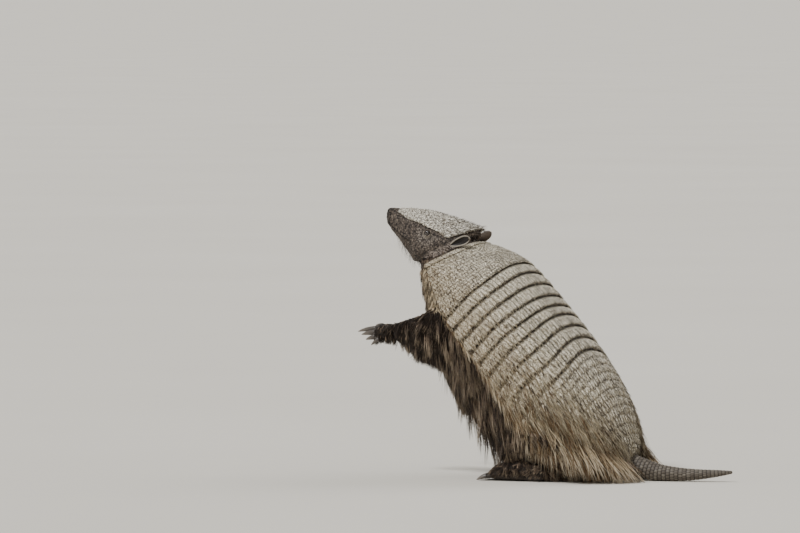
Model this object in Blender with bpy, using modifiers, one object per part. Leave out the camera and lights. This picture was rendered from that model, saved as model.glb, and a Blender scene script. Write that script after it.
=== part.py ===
"""A hairy armadillo, life size, reared up on its hind feet with both forepaws held out in front.

Metres, +Z up. The animal faces -X, its left side is -Y, and it stands on the plane Z = 0. The trunk is a
row of rounded sections along one tilted axis, and the armour plates are shells laid over those sections.
The outer faces of the furred parts stand for the tips of the coat.
"""

import math

import bmesh
import bpy
from mathutils import Vector

MM = 0.001

# The trunk's axis: a point in its middle, and how steeply it drops towards the tail.
TRUNK_MIDDLE = Vector((-0.021, 0.0, 0.132))
TRUNK_TILT = math.radians(50.3)
TAILWARD = Vector((math.cos(TRUNK_TILT), 0.0, -math.sin(TRUNK_TILT)))
BACKWARD = Vector((math.sin(TRUNK_TILT), 0.0, math.cos(TRUNK_TILT)))
LEFT = Vector((0.0, -1.0, 0.0))

# Each trunk section, in mm: place along the axis, half width, then the heights above the axis of the
# back, of the belly's fur and of its widest level, and how far it leans: tailward mm for each mm up.
TRUNK_SECTIONS = (
    (-146, 34, 17, -42, -18, 0.26),
    (-132, 44, 28, -47, -15, 0.25),
    (-117, 53, 39, -54, -10, 0.23),
    (-100, 61, 46, -66, -5, 0.12),
    (-80, 67, 50.5, -80, -1, -0.02),
    (-55, 71, 53.5, -88, 0, -0.05),
    (-20, 74, 55, -94, 0, -0.08),
    (15, 76, 56, -96, 0, -0.11),
    (50, 76, 56, -94, -2, -0.11),
    (85, 74, 53, -91, -4, -0.10),
    (115, 67, 47, -84, -6, -0.08),
    (140, 54, 38, -70, -8, -0.05),
    (157, 38, 27, -45, -9, 0.0),
    (168, 14, 9, -22, -10, 0.0),
)
BACK_SQUARENESS = 2.25
BELLY_SQUARENESS = 2.0

# The lower margin of the armour, as an angle from the middle of the back, by place along the axis.
MARGIN_ANGLES = (
    (-134, 104),
    (-119, 106),
    (-100, 110),
    (-80, 112),
    (-30, 108),
    (57, 106),
    (80, 98),
    (112, 82),
    (146, 52),
    (158, 28),
    (166, 8),
)

PLATE_THICKNESS = 2.3
PLATE_GAP = 1.2
REAR_RISE, FRONT_DROP = 0.6, 1.2  # a plate's rear edge stands proud, and its front edge tucks under
SEAT_DEPTH = 4.8  # from the armour's even outer face down to the flesh
BODY_GAP = 0.4  # between the trunk and what grows from it
# Where the plates' edges cross the middle of the back, and how far back their sides are swept.
NAPE_FRONT = (-134.0, 3.0)
SHIELD_FRONT = (-128.5, 3.5)
BAND_EDGES = (
    (-77, 5),
    (-62, 5),
    (-45, 4),
    (-28, 3),
    (-14, 4),
    (-1, 7),
    (15, 9),
    (31, 12),
    (47, 14),
)
PELVIS_END = 163.0
FLOOR_CLEARANCE = 2.5  # under the rump and the haunches' fur

NOSE = Vector((-0.188, 0.0, 0.2715))
HEAD_PITCH = math.radians(18.8)
BEHIND = Vector((math.cos(HEAD_PITCH), 0.0, -math.sin(HEAD_PITCH)))
CROWNWARD = Vector((math.sin(HEAD_PITCH), 0.0, math.cos(HEAD_PITCH)))
HEAD_LENGTH = 86.0
# Each head section, in mm: distance behind the nose, half width, heights of the crown and the throat above
# the axis, and how far it leans: back mm for each mm up, until it lies along the front of the trunk.
HEAD_SECTIONS = (
    (0.0, 5.5, 7.8, -7.0, -0.36),
    (1.2, 7.2, 9.3, -9.5, -0.34),
    (6, 8.5, 11.2, -13, -0.15),
    (13, 10, 13.5, -15.6, 0.0),
    (22, 13, 16.3, -20.2, 0.0),
    (32, 17, 19.2, -26, 0.02),
    (44, 22, 22, -31.2, 0.1),
    (56, 26, 23.4, -34.5, 0.32),
    (69, 29, 24, -35, 0.65),
    (78, 30, 24, -34.5, 0.88),
    (86, 30, 23.5, -33.5, 1.0),
)
HEAD_SQUARENESS = 2.15
EYE_PLACE, EYE_ANGLE, EYE_RADIUS = 59.0, math.radians(73), 3.6
# Each ear's root and tip: behind the nose, across, above the axis. The right one is laid further forward.
EARS = {1: ((94, 33.5, 2.2), (113.5, 34.0, 17.2)), -1: ((88, 35.0, -1.5), (104.5, 32.5, 18.0))}
EAR_WIDTH, EAR_WALL = 10.0, 1.6
# Each ear section: share of its length, of its width, and how deep its trough is for its half width.
EAR_SECTIONS = ((0.0, 0.4, 0.9), (0.25, 0.78, 0.8), (0.55, 1.0, 0.6), (0.82, 0.8, 0.4), (1.0, 0.38, 0.2))
# How far down each side the head shield comes: degrees from the crown, by place.
HEAD_SHIELD_REACH = (
    (11, 45), (15, 49), (26, 60), (41, 60), (54, 60), (65, 60.5), (73, 63), (79, 66), (81.5, 54), (83.5, 42),
)
HEAD_SHIELD_FRONT, HEAD_SHIELD_BACK = HEAD_SHIELD_REACH[0][0], HEAD_SHIELD_REACH[-1][0]
HEAD_SHIELD_THICKNESS = 2.2

SKINS = {
    "armour": ((0.42, 0.38, 0.31, 1), 0.75),
    "head_armour": ((0.52, 0.49, 0.42, 1), 0.75),
    "fur": ((0.13, 0.095, 0.07, 1), 0.9),
    "face_skin": ((0.17, 0.14, 0.125, 1), 0.8),
    "paw_skin": ((0.14, 0.12, 0.11, 1), 0.8),
    "claw_horn": ((0.26, 0.24, 0.22, 1), 0.45),
    "ear_skin": ((0.2, 0.18, 0.16, 1), 0.7),
    "tail_scales": ((0.24, 0.21, 0.18, 1), 0.7),
    "eye_black": ((0.01, 0.009, 0.008, 1), 0.1),
}


def clear_scene():
    for obj in list(bpy.data.objects):
        bpy.data.objects.remove(obj, do_unlink=True)


def named_collection(name):
    made = bpy.data.collections.new(name)
    bpy.context.scene.collection.children.link(made)
    return made


def make_material(name):
    colour, roughness = SKINS[name]
    material = bpy.data.materials.new(name)
    material.use_nodes = True
    shader = material.node_tree.nodes["Principled BSDF"]
    shader.inputs["Base Color"].default_value = colour
    shader.inputs["Roughness"].default_value = roughness
    shader.inputs["Metallic"].default_value = 0.0
    material.diffuse_color = colour
    return material


def between(table, at):
    """The row of a table of (place, values...) at a place, on a smooth curve through its rows."""
    rows = sorted(table)
    at = min(max(at, rows[0][0]), rows[-1][0])
    i = max(k for k in range(len(rows) - 1) if rows[k][0] <= at)
    low, high = rows[i], rows[i + 1]
    before, after = rows[max(i - 1, 0)], rows[min(i + 2, len(rows) - 1)]
    span = high[0] - low[0]
    share = (at - low[0]) / span
    values = []
    for k in range(1, len(low)):
        start_slope = (high[k] - before[k]) / (high[0] - before[0]) * span
        end_slope = (after[k] - low[k]) / (after[0] - low[0]) * span
        values.append(
            low[k] * (2 * share**3 - 3 * share**2 + 1)
            + high[k] * (3 * share**2 - 2 * share**3)
            + start_slope * (share**3 - 2 * share**2 + share)
            + end_slope * (share**3 - share**2)
        )
    return values


def rounded(angle, half_width, up, down, squareness_up, squareness_down):
    """Across and up on a rounded section. The angle runs from the top, positive to the left."""
    side, height = math.sin(angle), math.cos(angle)
    squareness = squareness_up if height >= 0 else squareness_down
    across = half_width * math.copysign(abs(side) ** (2 / squareness), side)
    rise = (up if height >= 0 else -down) * abs(height) ** (2 / squareness)
    return across, rise


def trunk_point(place, angle, out=0.0):
    half_width, back, belly, widest, lean = between(TRUNK_SECTIONS, place)
    across, rise = rounded(
        angle, half_width + out, back - widest + out, widest - belly + out, BACK_SQUARENESS, BELLY_SQUARENESS
    )
    height = rise + widest
    offset = TAILWARD * (place + lean * height) + BACKWARD * height + LEFT * across
    return TRUNK_MIDDLE + offset * MM


def margin_angle(place):
    return math.radians(between(MARGIN_ANGLES, place)[0])


def head_point(place, angle, out=0.0):
    half_width, crown, throat, lean = between(HEAD_SECTIONS, place)
    middle, half_height = (crown + throat) / 2, (crown - throat) / 2
    across, rise = rounded(
        angle, half_width + out, half_height + out, half_height + out, HEAD_SQUARENESS, HEAD_SQUARENESS
    )
    height = rise + middle
    return NOSE + (BEHIND * (place + lean * height) + CROWNWARD * height + LEFT * across) * MM


def loft(name, rings, material, collection, floor=None):
    """A closed solid through rings of as many points each, sliced flat at the floor where one is given."""
    mesh_maker = bmesh.new()
    made = [[mesh_maker.verts.new(p) for p in ring] for ring in rings]
    for first, second in zip(made, made[1:]):
        for k in range(len(first)):
            n = (k + 1) % len(first)
            mesh_maker.faces.new((first[k], first[n], second[n], second[k]))
    for ring, turned in ((made[0], True), (made[-1], False)):
        middle = sum((v.co for v in ring), Vector()) / len(ring)
        hub = mesh_maker.verts.new(middle)
        for k in range(len(ring)):
            pair = (ring[k], ring[(k + 1) % len(ring)])
            mesh_maker.faces.new((*pair[::-1], hub) if turned else (*pair, hub))
    bmesh.ops.remove_doubles(mesh_maker, verts=mesh_maker.verts, dist=1e-6)
    if floor is not None:
        slice_at(mesh_maker, floor)
    bmesh.ops.recalc_face_normals(mesh_maker, faces=mesh_maker.faces)
    bmesh.ops.triangulate(mesh_maker, faces=mesh_maker.faces)
    return mesh_object(name, mesh_maker, material, collection)


def slice_at(mesh_maker, level):
    """Cut away what lies below a level and close the cut with a flat face."""
    everything = mesh_maker.verts[:] + mesh_maker.edges[:] + mesh_maker.faces[:]
    bmesh.ops.bisect_plane(
        mesh_maker,
        geom=everything,
        dist=1e-7,
        plane_co=(0, 0, level),
        plane_no=(0, 0, -1),
        clear_outer=True,
    )
    rim = [edge for edge in mesh_maker.edges if edge.is_boundary]
    bmesh.ops.holes_fill(mesh_maker, edges=rim, sides=0)


def mesh_object(name, mesh_maker, material, collection):
    mesh = bpy.data.meshes.new(name)
    mesh_maker.to_mesh(mesh)
    mesh_maker.free()
    mesh.shade_smooth()
    mesh.set_sharp_from_angle(angle=math.radians(50))
    if material is not None:
        mesh.materials.append(material)
    obj = bpy.data.objects.new(name, mesh)
    collection.objects.link(obj)
    return obj


def as_cutter(obj):
    obj.hide_render = True
    obj.display_type = "WIRE"
    return obj


def cut(obj, cutter, name="clear"):
    modifier = obj.modifiers.new(name, "BOOLEAN")
    modifier.operation = "DIFFERENCE"
    modifier.object = cutter
    modifier.solver = "EXACT"


def join(obj, other, name="join"):
    modifier = obj.modifiers.new(name, "BOOLEAN")
    modifier.operation = "UNION"
    modifier.object = other
    modifier.solver = "EXACT"


# --- trunk and armour ------------------------------------------------------------------------------------

FRONTWARD = Vector((-0.435, 0.0, 0.9))  # square to the trunk's flat front, where the neck comes out
RING_BACK, RING_BELLY = 11, 5  # facets on each side, under the armour and below it
TRUNK_PLACES = (-134.5, -114, -86, -52, -14, 26, 62, 92, 118, 138, 152, 161)


def trunk_ring(place, lift=0.0):
    """One ring of the trunk, sunk under the armour and standing out to the fur's tips below its margin."""
    margin = margin_angle(place)
    half = [(margin + math.radians(2)) * k / RING_BACK for k in range(RING_BACK + 1)]
    start = min(margin + math.radians(9), math.radians(170))
    below = [start + (math.pi - start) * k / RING_BELLY for k in range(RING_BELLY + 1)]
    left = [trunk_point(place, a, lift - SEAT_DEPTH) for a in half]
    left += [trunk_point(place, a, lift) for a in below]
    right = [Vector((p.x, -p.y, p.z)) for p in left[-2:0:-1]]
    return left + right


def build_trunk(material, collection):
    return loft("trunk", [trunk_ring(p) for p in TRUNK_PLACES], material, collection, FLOOR_CLEARANCE * MM)


def build_body_space(collection):
    """The space taken by the trunk, a hair's breadth larger, to cut the arms and the tail back from."""
    rings = [trunk_ring(p, BODY_GAP) for p in TRUNK_PLACES]
    return as_cutter(loft("body_space", rings, None, collection))


def build_collar_space(collection):
    """The front of the trunk with its armour on, to keep the ears off it."""
    turn = [2 * math.pi * k / 32 for k in range(32)]
    rings = [[trunk_point(p, a, 1.2) for a in turn] for p in (NAPE_FRONT[0] - 1, -122, -108)]
    return as_cutter(loft("collar_space", rings, None, collection))


def build_armour_space(collection):
    """The space of all the armour and everything outside it, to keep the limbs under it."""

    def surface(across, along):
        place = -136 + 295 * (along + 1) / 2
        angle = (margin_angle(place) + math.radians(1.5)) * across
        return trunk_point(place, angle, -SEAT_DEPTH)

    return as_cutter(build_shell("armour_space", surface, (18, 13), -34, None, collection))


def edge_point(edge, share, out):
    """A point on a plate's edge: the share runs from -1 at the right margin to 1 at the left one."""
    place, sweep = edge
    angle = margin_angle(place + sweep) * share
    swept = sweep * math.sin(min(abs(angle) * 1.4, math.pi / 2)) ** 2
    return trunk_point(place + swept, angle, out)


def build_shell(name, surface, segments, thickness, material, collection):
    """A grid laid on a surface of (across, along), each from -1 to 1, and thickened inward, in mm."""
    mesh_maker = bmesh.new()
    bmesh.ops.create_grid(mesh_maker, x_segments=segments[0], y_segments=segments[1], size=1.0)
    for vertex in mesh_maker.verts:
        vertex.co = surface(vertex.co.x, vertex.co.y)
    shell = mesh_object(name, mesh_maker, material, collection)
    wall = shell.modifiers.new("wall", "SOLIDIFY")
    wall.thickness = abs(thickness) * MM
    wall.offset = -1.0 if thickness > 0 else 1.0
    return shell


def build_plate(name, rows, material, collection, facets=9):
    """A curved plate over the back, from rows of (edge, height of its outer face)."""

    def surface(across, along):
        row = round((along + 1) / 2 * (len(rows) - 1))
        edge, height = rows[row]
        return edge_point(edge, across, height)

    return build_shell(name, surface, (2 * facets, len(rows) - 1), PLATE_THICKNESS, material, collection)


def moved(edge, by, fade=1.0):
    return edge[0] + by, edge[1] * fade


def build_armour(material, collection):
    gap, low, high = PLATE_GAP / 2, -FRONT_DROP, REAR_RISE
    nape_rows = [(NAPE_FRONT, low), (moved(SHIELD_FRONT, -gap), 0.2)]
    build_plate("nape_band", nape_rows, material, collection)
    shield_rows = [
        (moved(SHIELD_FRONT, gap), low),
        (moved(SHIELD_FRONT, 4), 0.2),
        ((-113, 4), 0.0),
        ((-95, 4.5), 0.0),
        (moved(BAND_EDGES[0], -gap), high),
    ]
    build_plate("shoulder_shield", shield_rows, material, collection)
    for k, (front, rear) in enumerate(zip(BAND_EDGES, BAND_EDGES[1:]), 1):
        rows = [(moved(front, gap), low), (moved(rear, -gap), high)]
        build_plate(f"band_{k}", rows, material, collection)
    last = BAND_EDGES[-1]
    rows = [(moved(last, gap), low), (moved(last, 12, 0.95), 0.0)]
    for place in (80, 103, 124, 142, 153, PELVIS_END - 3):
        fade = 1 - ((place - last[0]) / (PELVIS_END + 4 - last[0])) ** 2
        rows.append((moved(last, place - last[0], fade), 0.0))
    return build_plate("pelvic_shield", rows, material, collection)


# --- head ------------------------------------------------------------------------------------------------

HEAD_FACETS = 20
HEAD_PLACES = (0.0, 1.2, 5.6, 9.8, 10.5, 15, 26, 41, 54, 65, 73, 79, 81.5, 83.5, HEAD_LENGTH)


def head_ring(place):
    """One ring of the head, sunk a little where the head shield lies on it."""
    half = HEAD_FACETS // 2
    if place < HEAD_SHIELD_FRONT - 1:
        left = [head_point(place, math.pi * k / half) for k in range(half + 1)]
    else:
        reach = shield_reach(place)
        sunk, open_from = reach + math.radians(6), reach + math.radians(12)
        depth = -(HEAD_SHIELD_THICKNESS + 1.0)
        left = [head_point(place, sunk * k / 5, depth) for k in range(6)]
        left += [head_point(place, open_from + (math.pi - open_from) * k / 4) for k in range(5)]
    return left + [Vector((p.x, -p.y, p.z)) for p in left[-2:0:-1]]


def build_head(material, collection, cutters):
    head = loft("head", [head_ring(p) for p in HEAD_PLACES], material, collection)
    for side in (1, -1):
        socket = ball(f"eye_socket_{side}", eye_centre(side), EYE_RADIUS + 0.35, cutters)
        cut(head, as_cutter(socket), f"eye {side}")


def shield_reach(place):
    """How far the head shield comes down each side at a place, as an angle from the crown."""
    return math.radians(between(HEAD_SHIELD_REACH, place)[0])


def build_head_shield(material, collection):
    places = [place for place, _ in HEAD_SHIELD_REACH]

    def surface(across, along):
        place = places[round((along + 1) / 2 * (len(places) - 1))]
        return head_point(place, shield_reach(place) * across, 0.3)

    segments = (10, len(places) - 1)
    build_shell("head_shield", surface, segments, HEAD_SHIELD_THICKNESS, material, collection)


def build_neck(name, material, collection, wider=0.0):
    """From the head's flat back to the trunk's flat front, a hair's breadth off each."""
    turn = [2 * math.pi * k / HEAD_FACETS for k in range(HEAD_FACETS)]
    start = [head_point(HEAD_LENGTH, a, wider - 2.0) - FRONTWARD * BODY_GAP * MM for a in turn]
    end = [trunk_point(TRUNK_PLACES[0], a, wider - 6.0) + FRONTWARD * BODY_GAP * MM for a in turn]
    rings = []
    for share in (0.0, 0.33, 0.67, 1.0):
        bulge = 1 + 0.1 * math.sin(math.pi * share)
        ring = [p.lerp(q, share) for p, q in zip(start, end)]
        middle = sum(ring, Vector()) / len(ring)
        rings.append([middle + (p - middle) * bulge for p in ring])
    return loft(name, rings, material, collection)


def ball(name, centre, radius, collection, material=None, rings=6, segments=10):
    mesh_maker = bmesh.new()
    bmesh.ops.create_uvsphere(mesh_maker, u_segments=segments, v_segments=rings, radius=radius * MM)
    bmesh.ops.translate(mesh_maker, verts=mesh_maker.verts, vec=centre)
    bmesh.ops.triangulate(mesh_maker, faces=mesh_maker.faces)
    return mesh_object(name, mesh_maker, material, collection)


def eye_centre(side):
    surface = head_point(EYE_PLACE, EYE_ANGLE * side)
    inner = head_point(EYE_PLACE, EYE_ANGLE * side, -10)
    return surface + (inner - surface).normalized() * (EYE_RADIUS - 1.1) * MM


def build_ear(side, material, collection, spaces):
    """A spoon-shaped ear: a trough along its length, open outward and forward."""
    name = f"ear_{'left' if side > 0 else 'right'}"
    root, tip = (
        NOSE + (BEHIND * behind + CROWNWARD * up + LEFT * across * side) * MM
        for behind, across, up in EARS[side]
    )
    lengthwise = (tip - root).normalized()
    facing = LEFT * side * 0.95 - BEHIND * 0.2
    facing = (facing - lengthwise * facing.dot(lengthwise)).normalized()
    widthwise = lengthwise.cross(facing)

    def surface(across, along):
        share, width, depth = EAR_SECTIONS[round((along + 1) / 2 * (len(EAR_SECTIONS) - 1))]
        half = EAR_WIDTH / 2 * width
        turn = math.pi / 2 * across
        offset = widthwise * math.sin(turn) * half - facing * math.cos(turn) * half * depth
        return root.lerp(tip, share) + offset * MM

    segments = (6, len(EAR_SECTIONS) - 1)
    ear = build_shell(name, surface, segments, EAR_WALL, material, collection)
    for number, space in enumerate(spaces, 1):
        cut(ear, space, f"clear {number}")


# --- limbs -----------------------------------------------------------------------------------------------


def tube_rings(path, facets=12, first_up=(0, 0, 1)):
    """Rings square to a path of (point in mm, half width, half height)."""
    rings = []
    points = [Vector(p) for p, _, _ in path]
    for k, (_, half_width, half_height) in enumerate(path):
        ahead = points[min(k + 1, len(points) - 1)] - points[max(k - 1, 0)]
        ahead.normalize()
        side = ahead.cross(Vector(first_up)).normalized()
        up = side.cross(ahead).normalized()
        ring = []
        for step in range(facets):
            turn = 2 * math.pi * step / facets
            offset = side * half_width * math.cos(turn) + up * half_height * math.sin(turn)
            ring.append((points[k] + offset) * MM)
        rings.append(ring)
    return rings


def mirrored(path, side):
    """A left-side path, or the same one on the right."""
    return [((x, y * side, z), w, h) for (x, y, z), w, h in path]


# The foreleg from inside the shoulder to the wrist, and on from there the forepaw up to the toes.
FORELEG_PATH = (
    ((-63, -30, 158), 16, 18),
    ((-89, -41, 157), 23, 31),
    ((-109, -48, 152), 22, 29),
    ((-125, -50, 151.5), 17, 22),
    ((-140, -49, 152), 12, 15.5),
    ((-152, -47.5, 152.9), 9, 10.5),
    ((-160, -47, 152.1), 8, 8.2),
    ((-160.6, -47, 152.0), 8, 8.0),
    ((-165, -46.5, 151.5), 8.4, 8.4),
    ((-171, -46, 150.6), 8.4, 8.6),
    ((-176, -45.6, 149.7), 7.4, 8.0),
)
WRIST = 7  # the first ring of the forepaw
RIGHT_PAW_DROP = 9.0  # the right forepaw is held a little lower and closer to the chest
PAW_ROLL = math.radians(48)  # the forepaws are held half on edge, with the inner toes up
LEG_PATH = (
    ((65, -38, 64), 27, 32),
    ((47, -44, 60), 34, 40),
    ((23, -48, 52), 33, 38),
    ((3, -51, 42), 27, 30),
    ((-12, -55, 30), 19, 20),
    ((-22, -57, 20), 13, 12),
)
FOOT_PATH = (
    ((27, -58, 7), 5, 5.5),
    ((21, -58, 8.5), 8.8, 9),
    ((5, -58, 10.5), 11.5, 11.5),
    ((-11, -58.5, 11), 13, 12),
    ((-24, -59, 9), 14, 9.8),
    ((-34, -59, 6.5), 13.2, 7),
)
# Each toe: place across the foot, its length, its claw's length, half thickness and splay in degrees.
FRONT_TOES = (
    (9.8, 2.2, 8.5, 2.3, 8),
    (5.1, 7.6, 23.5, 3.0, 0.5),
    (0.0, 7.4, 17, 3.1, 0.5),
    (-5.5, 5.5, 10.5, 2.8, -7),
    (-10.0, 0, 8.5, 2.4, -38),
)
HIND_TOES = (
    (11, 5, 7, 2.6, 24),
    (5.8, 8, 10, 2.9, 11),
    (0.3, 9, 11.5, 3.0, 0),
    (-5.2, 8, 10.5, 2.9, -11),
    (-10.8, 6, 8, 2.7, -24),
)


def build_toes(kind, side, base, droop, roll, toes, foot, horn, collection, cutters, floor):
    """Toes joined to the foot, each with a curved claw that starts at the toe's flat end."""
    label = "left" if side > 0 else "right"
    inward = Vector((0, math.cos(roll) * side, math.sin(roll)))
    palm = Vector((0, math.sin(roll) * side, -math.cos(roll)))
    for number, (across, length, claw_length, thick, splay) in enumerate(toes, 1):
        turn = math.radians(splay)
        heading = (Vector((-math.cos(turn), 0, -droop)) + inward * math.sin(turn)).normalized()
        start = Vector(base) + inward * across - heading * 7
        tip = Vector(base) + inward * across + heading * length
        path = [(start, 1.25 * thick, 1.2 * thick), (tip, thick, thick)]
        toe = loft(f"{kind}_{label}_toe_{number}", tube_rings(path, 6), None, cutters, floor)
        join(foot, as_cutter(toe), f"toe {number}")
        claw_path = []
        for step in range(4):
            share = step / 3
            bend = heading + palm * 0.2 * share
            at = tip + heading * 0.6 + bend.normalized() * claw_length * share
            taper = (1 - share) ** 0.55 + 0.09
            claw_path.append((at, thick * 0.76 * taper, thick * 0.92 * taper))
        loft(f"claw_{kind}_{label}_{number}", tube_rings(claw_path, 6), horn, collection, floor)


def held(point, side):
    """The place of a point of the foreleg on one side, with the right paw lowered."""
    x, y, z = point
    reach = (x - FORELEG_PATH[0][0][0]) / (FORELEG_PATH[-1][0][0] - FORELEG_PATH[0][0][0])
    drop = RIGHT_PAW_DROP * reach**2 if side < 0 else 0.0
    return x + 0.7 * drop, y * side, z - drop


def build_arm(side, skins, collection, cutters, body_space, armour_space):
    label = "left" if side > 0 else "right"
    rings = tube_rings([(held(p, side), w, h) for p, w, h in FORELEG_PATH])
    arm = loft(f"foreleg_{label}", rings[:WRIST], skins["fur"], collection)
    cut(arm, body_space, "body")
    cut(arm, armour_space, "armour")
    paw = loft(f"forepaw_{label}", rings[WRIST:], skins["paw_skin"], collection)
    base = Vector(held((-175, -45.6, 149.8), side))
    horn = skins["claw_horn"]
    build_toes("fore", side, base, 0.02, PAW_ROLL, FRONT_TOES, paw, horn, collection, cutters, None)


def build_leg(side, skins, collection, cutters, trunk, armour_space):
    """The haunch swells out of the trunk below the armour, and the foot comes out from under it."""
    label = "left" if side > 0 else "right"
    rings = tube_rings(mirrored(LEG_PATH, side), 14)
    leg = loft(f"hindleg_{label}", rings, skins["fur"], collection, FLOOR_CLEARANCE * MM)
    cut(leg, armour_space, "armour")
    leg_space_rings = tube_rings(mirrored(swollen(LEG_PATH), side), 14)
    leg_space = loft(f"leg_space_{label}", leg_space_rings, None, cutters, -0.02)
    cut(trunk, as_cutter(leg_space), f"leg {label}")
    foot_space_rings = tube_rings(mirrored(swollen(FOOT_PATH), side))
    foot_space = loft(f"foot_space_{label}", foot_space_rings, None, cutters, -0.02)
    cut(leg, as_cutter(foot_space), "foot")
    cut(trunk, foot_space, f"foot {label}")
    foot_rings = tube_rings(mirrored(FOOT_PATH, side))
    foot = loft(f"hindfoot_{label}", foot_rings, skins["paw_skin"], collection, 0.0)
    base = Vector((-33, -59 * side, 5.2))
    horn = skins["claw_horn"]
    build_toes("hind", side, base, 0.16, 0.0, HIND_TOES, foot, horn, collection, cutters, 0.0)


def swollen(path):
    """The same path, a hair's breadth wider and longer at each end."""
    first, second = Vector(path[0][0]), Vector(path[1][0])
    last, before = Vector(path[-1][0]), Vector(path[-2][0])
    start = first + (first - second).normalized() * BODY_GAP
    end = last + (last - before).normalized() * BODY_GAP
    places = [start, *(p for p, _, _ in path[1:-1]), end]
    return [(place, w + BODY_GAP, h + BODY_GAP) for place, (_, w, h) in zip(places, path)]


TAIL_PATH = (
    ((69, 0, 22), 14, 13),
    ((89, 0, 18), 12.5, 12),
    ((107, 1, 13.5), 10.8, 10.8),
    ((125, 4, 9.0), 9, 9.2),
    ((145, 8, 7.3), 7.3, 7.6),
    ((165, 13, 7.4), 5.7, 6.0),
    ((185, 18, 8.8), 3.8, 4.2),
    ((203, 21, 10.5), 1.6, 1.9),
)


def build_tail(material, collection, cutters, body_space, pelvic_shield):
    """The tail comes out through a notch in the rear edge of the pelvic shield."""
    tail = loft("tail", tube_rings(TAIL_PATH, 12), material, collection, 0.0)
    cut(tail, body_space, "body")
    notch = loft("tail_notch", tube_rings(swollen(TAIL_PATH[:3]), 12), None, cutters)
    cut(pelvic_shield, as_cutter(notch), "tail notch")


def build_head_space(cutters):
    """The head's shape, a little larger, to keep the ears clear of it."""
    turn = [2 * math.pi * k / HEAD_FACETS for k in range(HEAD_FACETS)]
    rings = [[head_point(p, a, 0.5) for a in turn] for p in (*HEAD_PLACES, HEAD_LENGTH + 0.6)]
    return as_cutter(loft("head_space", rings, None, cutters))


def main():
    clear_scene()
    parts = named_collection("hairy_armadillo")
    cutters = named_collection("cutters")
    skins = {name: make_material(name) for name in SKINS}
    body_space = build_body_space(cutters)
    armour_space = build_armour_space(cutters)
    trunk = build_trunk(skins["fur"], parts)
    pelvic_shield = build_armour(skins["armour"], parts)
    build_head(skins["face_skin"], parts, cutters)
    build_head_shield(skins["head_armour"], parts)
    build_neck("neck", skins["fur"], parts)
    head_space = build_head_space(cutters)
    collar_space = build_collar_space(cutters)
    neck_space = as_cutter(build_neck("neck_space", None, cutters, 0.8))
    for side in (1, -1):
        label = "left" if side > 0 else "right"
        ball(f"eye_{label}", eye_centre(side), EYE_RADIUS, parts, skins["eye_black"])
        build_ear(side, skins["ear_skin"], parts, (head_space, collar_space, neck_space))
        build_arm(side, skins, parts, cutters, body_space, armour_space)
        build_leg(side, skins, parts, cutters, trunk, armour_space)
    build_tail(skins["tail_scales"], parts, cutters, body_space, pelvic_shield)


main()
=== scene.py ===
import math

import bmesh
import bpy
import numpy as np
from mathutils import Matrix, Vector
from mathutils.bvhtree import BVHTree
from mathutils.kdtree import KDTree


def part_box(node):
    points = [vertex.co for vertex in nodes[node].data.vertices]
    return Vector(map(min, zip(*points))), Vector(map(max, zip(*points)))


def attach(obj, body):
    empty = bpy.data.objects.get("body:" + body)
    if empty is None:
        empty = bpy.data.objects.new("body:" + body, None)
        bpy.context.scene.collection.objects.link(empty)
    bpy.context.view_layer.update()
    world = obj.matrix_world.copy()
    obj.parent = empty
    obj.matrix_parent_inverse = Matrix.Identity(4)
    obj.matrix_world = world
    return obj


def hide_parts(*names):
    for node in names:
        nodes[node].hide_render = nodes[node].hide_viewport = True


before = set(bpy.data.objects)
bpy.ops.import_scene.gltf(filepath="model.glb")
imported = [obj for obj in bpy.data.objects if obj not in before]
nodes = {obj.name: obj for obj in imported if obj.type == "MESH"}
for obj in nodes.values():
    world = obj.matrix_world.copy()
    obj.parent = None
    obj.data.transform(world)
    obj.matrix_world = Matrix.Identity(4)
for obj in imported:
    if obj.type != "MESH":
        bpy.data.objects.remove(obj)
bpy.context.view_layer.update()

# A big hairy armadillo reared up on its hind feet. Metres, +Z up, facing -X, its left side at -Y.
mm = 0.001
print("frame loaded:", len(nodes), "nodes")


# Small helpers

def linearColour(code):  # sRGB hex to a linear colour
    parts = [int(code[k : k + 2], 16) / 255 for k in (0, 2, 4)]
    return (*[p / 12.92 if p <= 0.04045 else ((p + 0.055) / 1.055) ** 2.4 for p in parts], 1.0)


def setInputs(tree, node, inputs):  # each to a value, a hex colour, an output, or a node's first output
    for name, value in inputs.items():
        if isinstance(value, str):
            value = linearColour(value)
        if isinstance(value, bpy.types.Node):
            value = next(output for output in value.outputs if output.enabled)
        if isinstance(value, bpy.types.NodeSocket):
            tree.links.new(value, node.inputs[name])
        else:
            node.inputs[name].default_value = value


def addNode(tree, kind, inputs=None, **settings):
    node = tree.nodes.new(kind)
    for name, value in settings.items():
        setattr(node, name, value)
    setInputs(tree, node, inputs or {})
    return node


def newMaterial(name, roughness, specular=0.4):
    material = bpy.data.materials.new(name)
    material.use_nodes = True
    tree = material.node_tree
    shader = tree.nodes["Principled BSDF"]
    setInputs(tree, shader, {"Roughness": roughness, "Specular IOR Level": specular})
    return material, tree, shader


def newPiece(name, mesh, material, replaced=()):
    piece = bpy.data.objects.new(name, mesh)
    bpy.context.scene.collection.objects.link(piece)
    mesh.materials.clear()
    mesh.materials.append(material)
    mesh.shade_smooth()
    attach(piece, "root")
    if replaced:
        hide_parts(*replaced)
    return piece


def unit(vectors):
    return vectors / np.maximum(np.linalg.norm(vectors, axis=-1, keepdims=True), 1e-9)


def ramp(value, start, end):  # 0 before start, 1 past end, smooth between them
    share = np.clip((value - start) / (end - start), 0.0, 1.0)
    return share * share * (3 - 2 * share)


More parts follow.
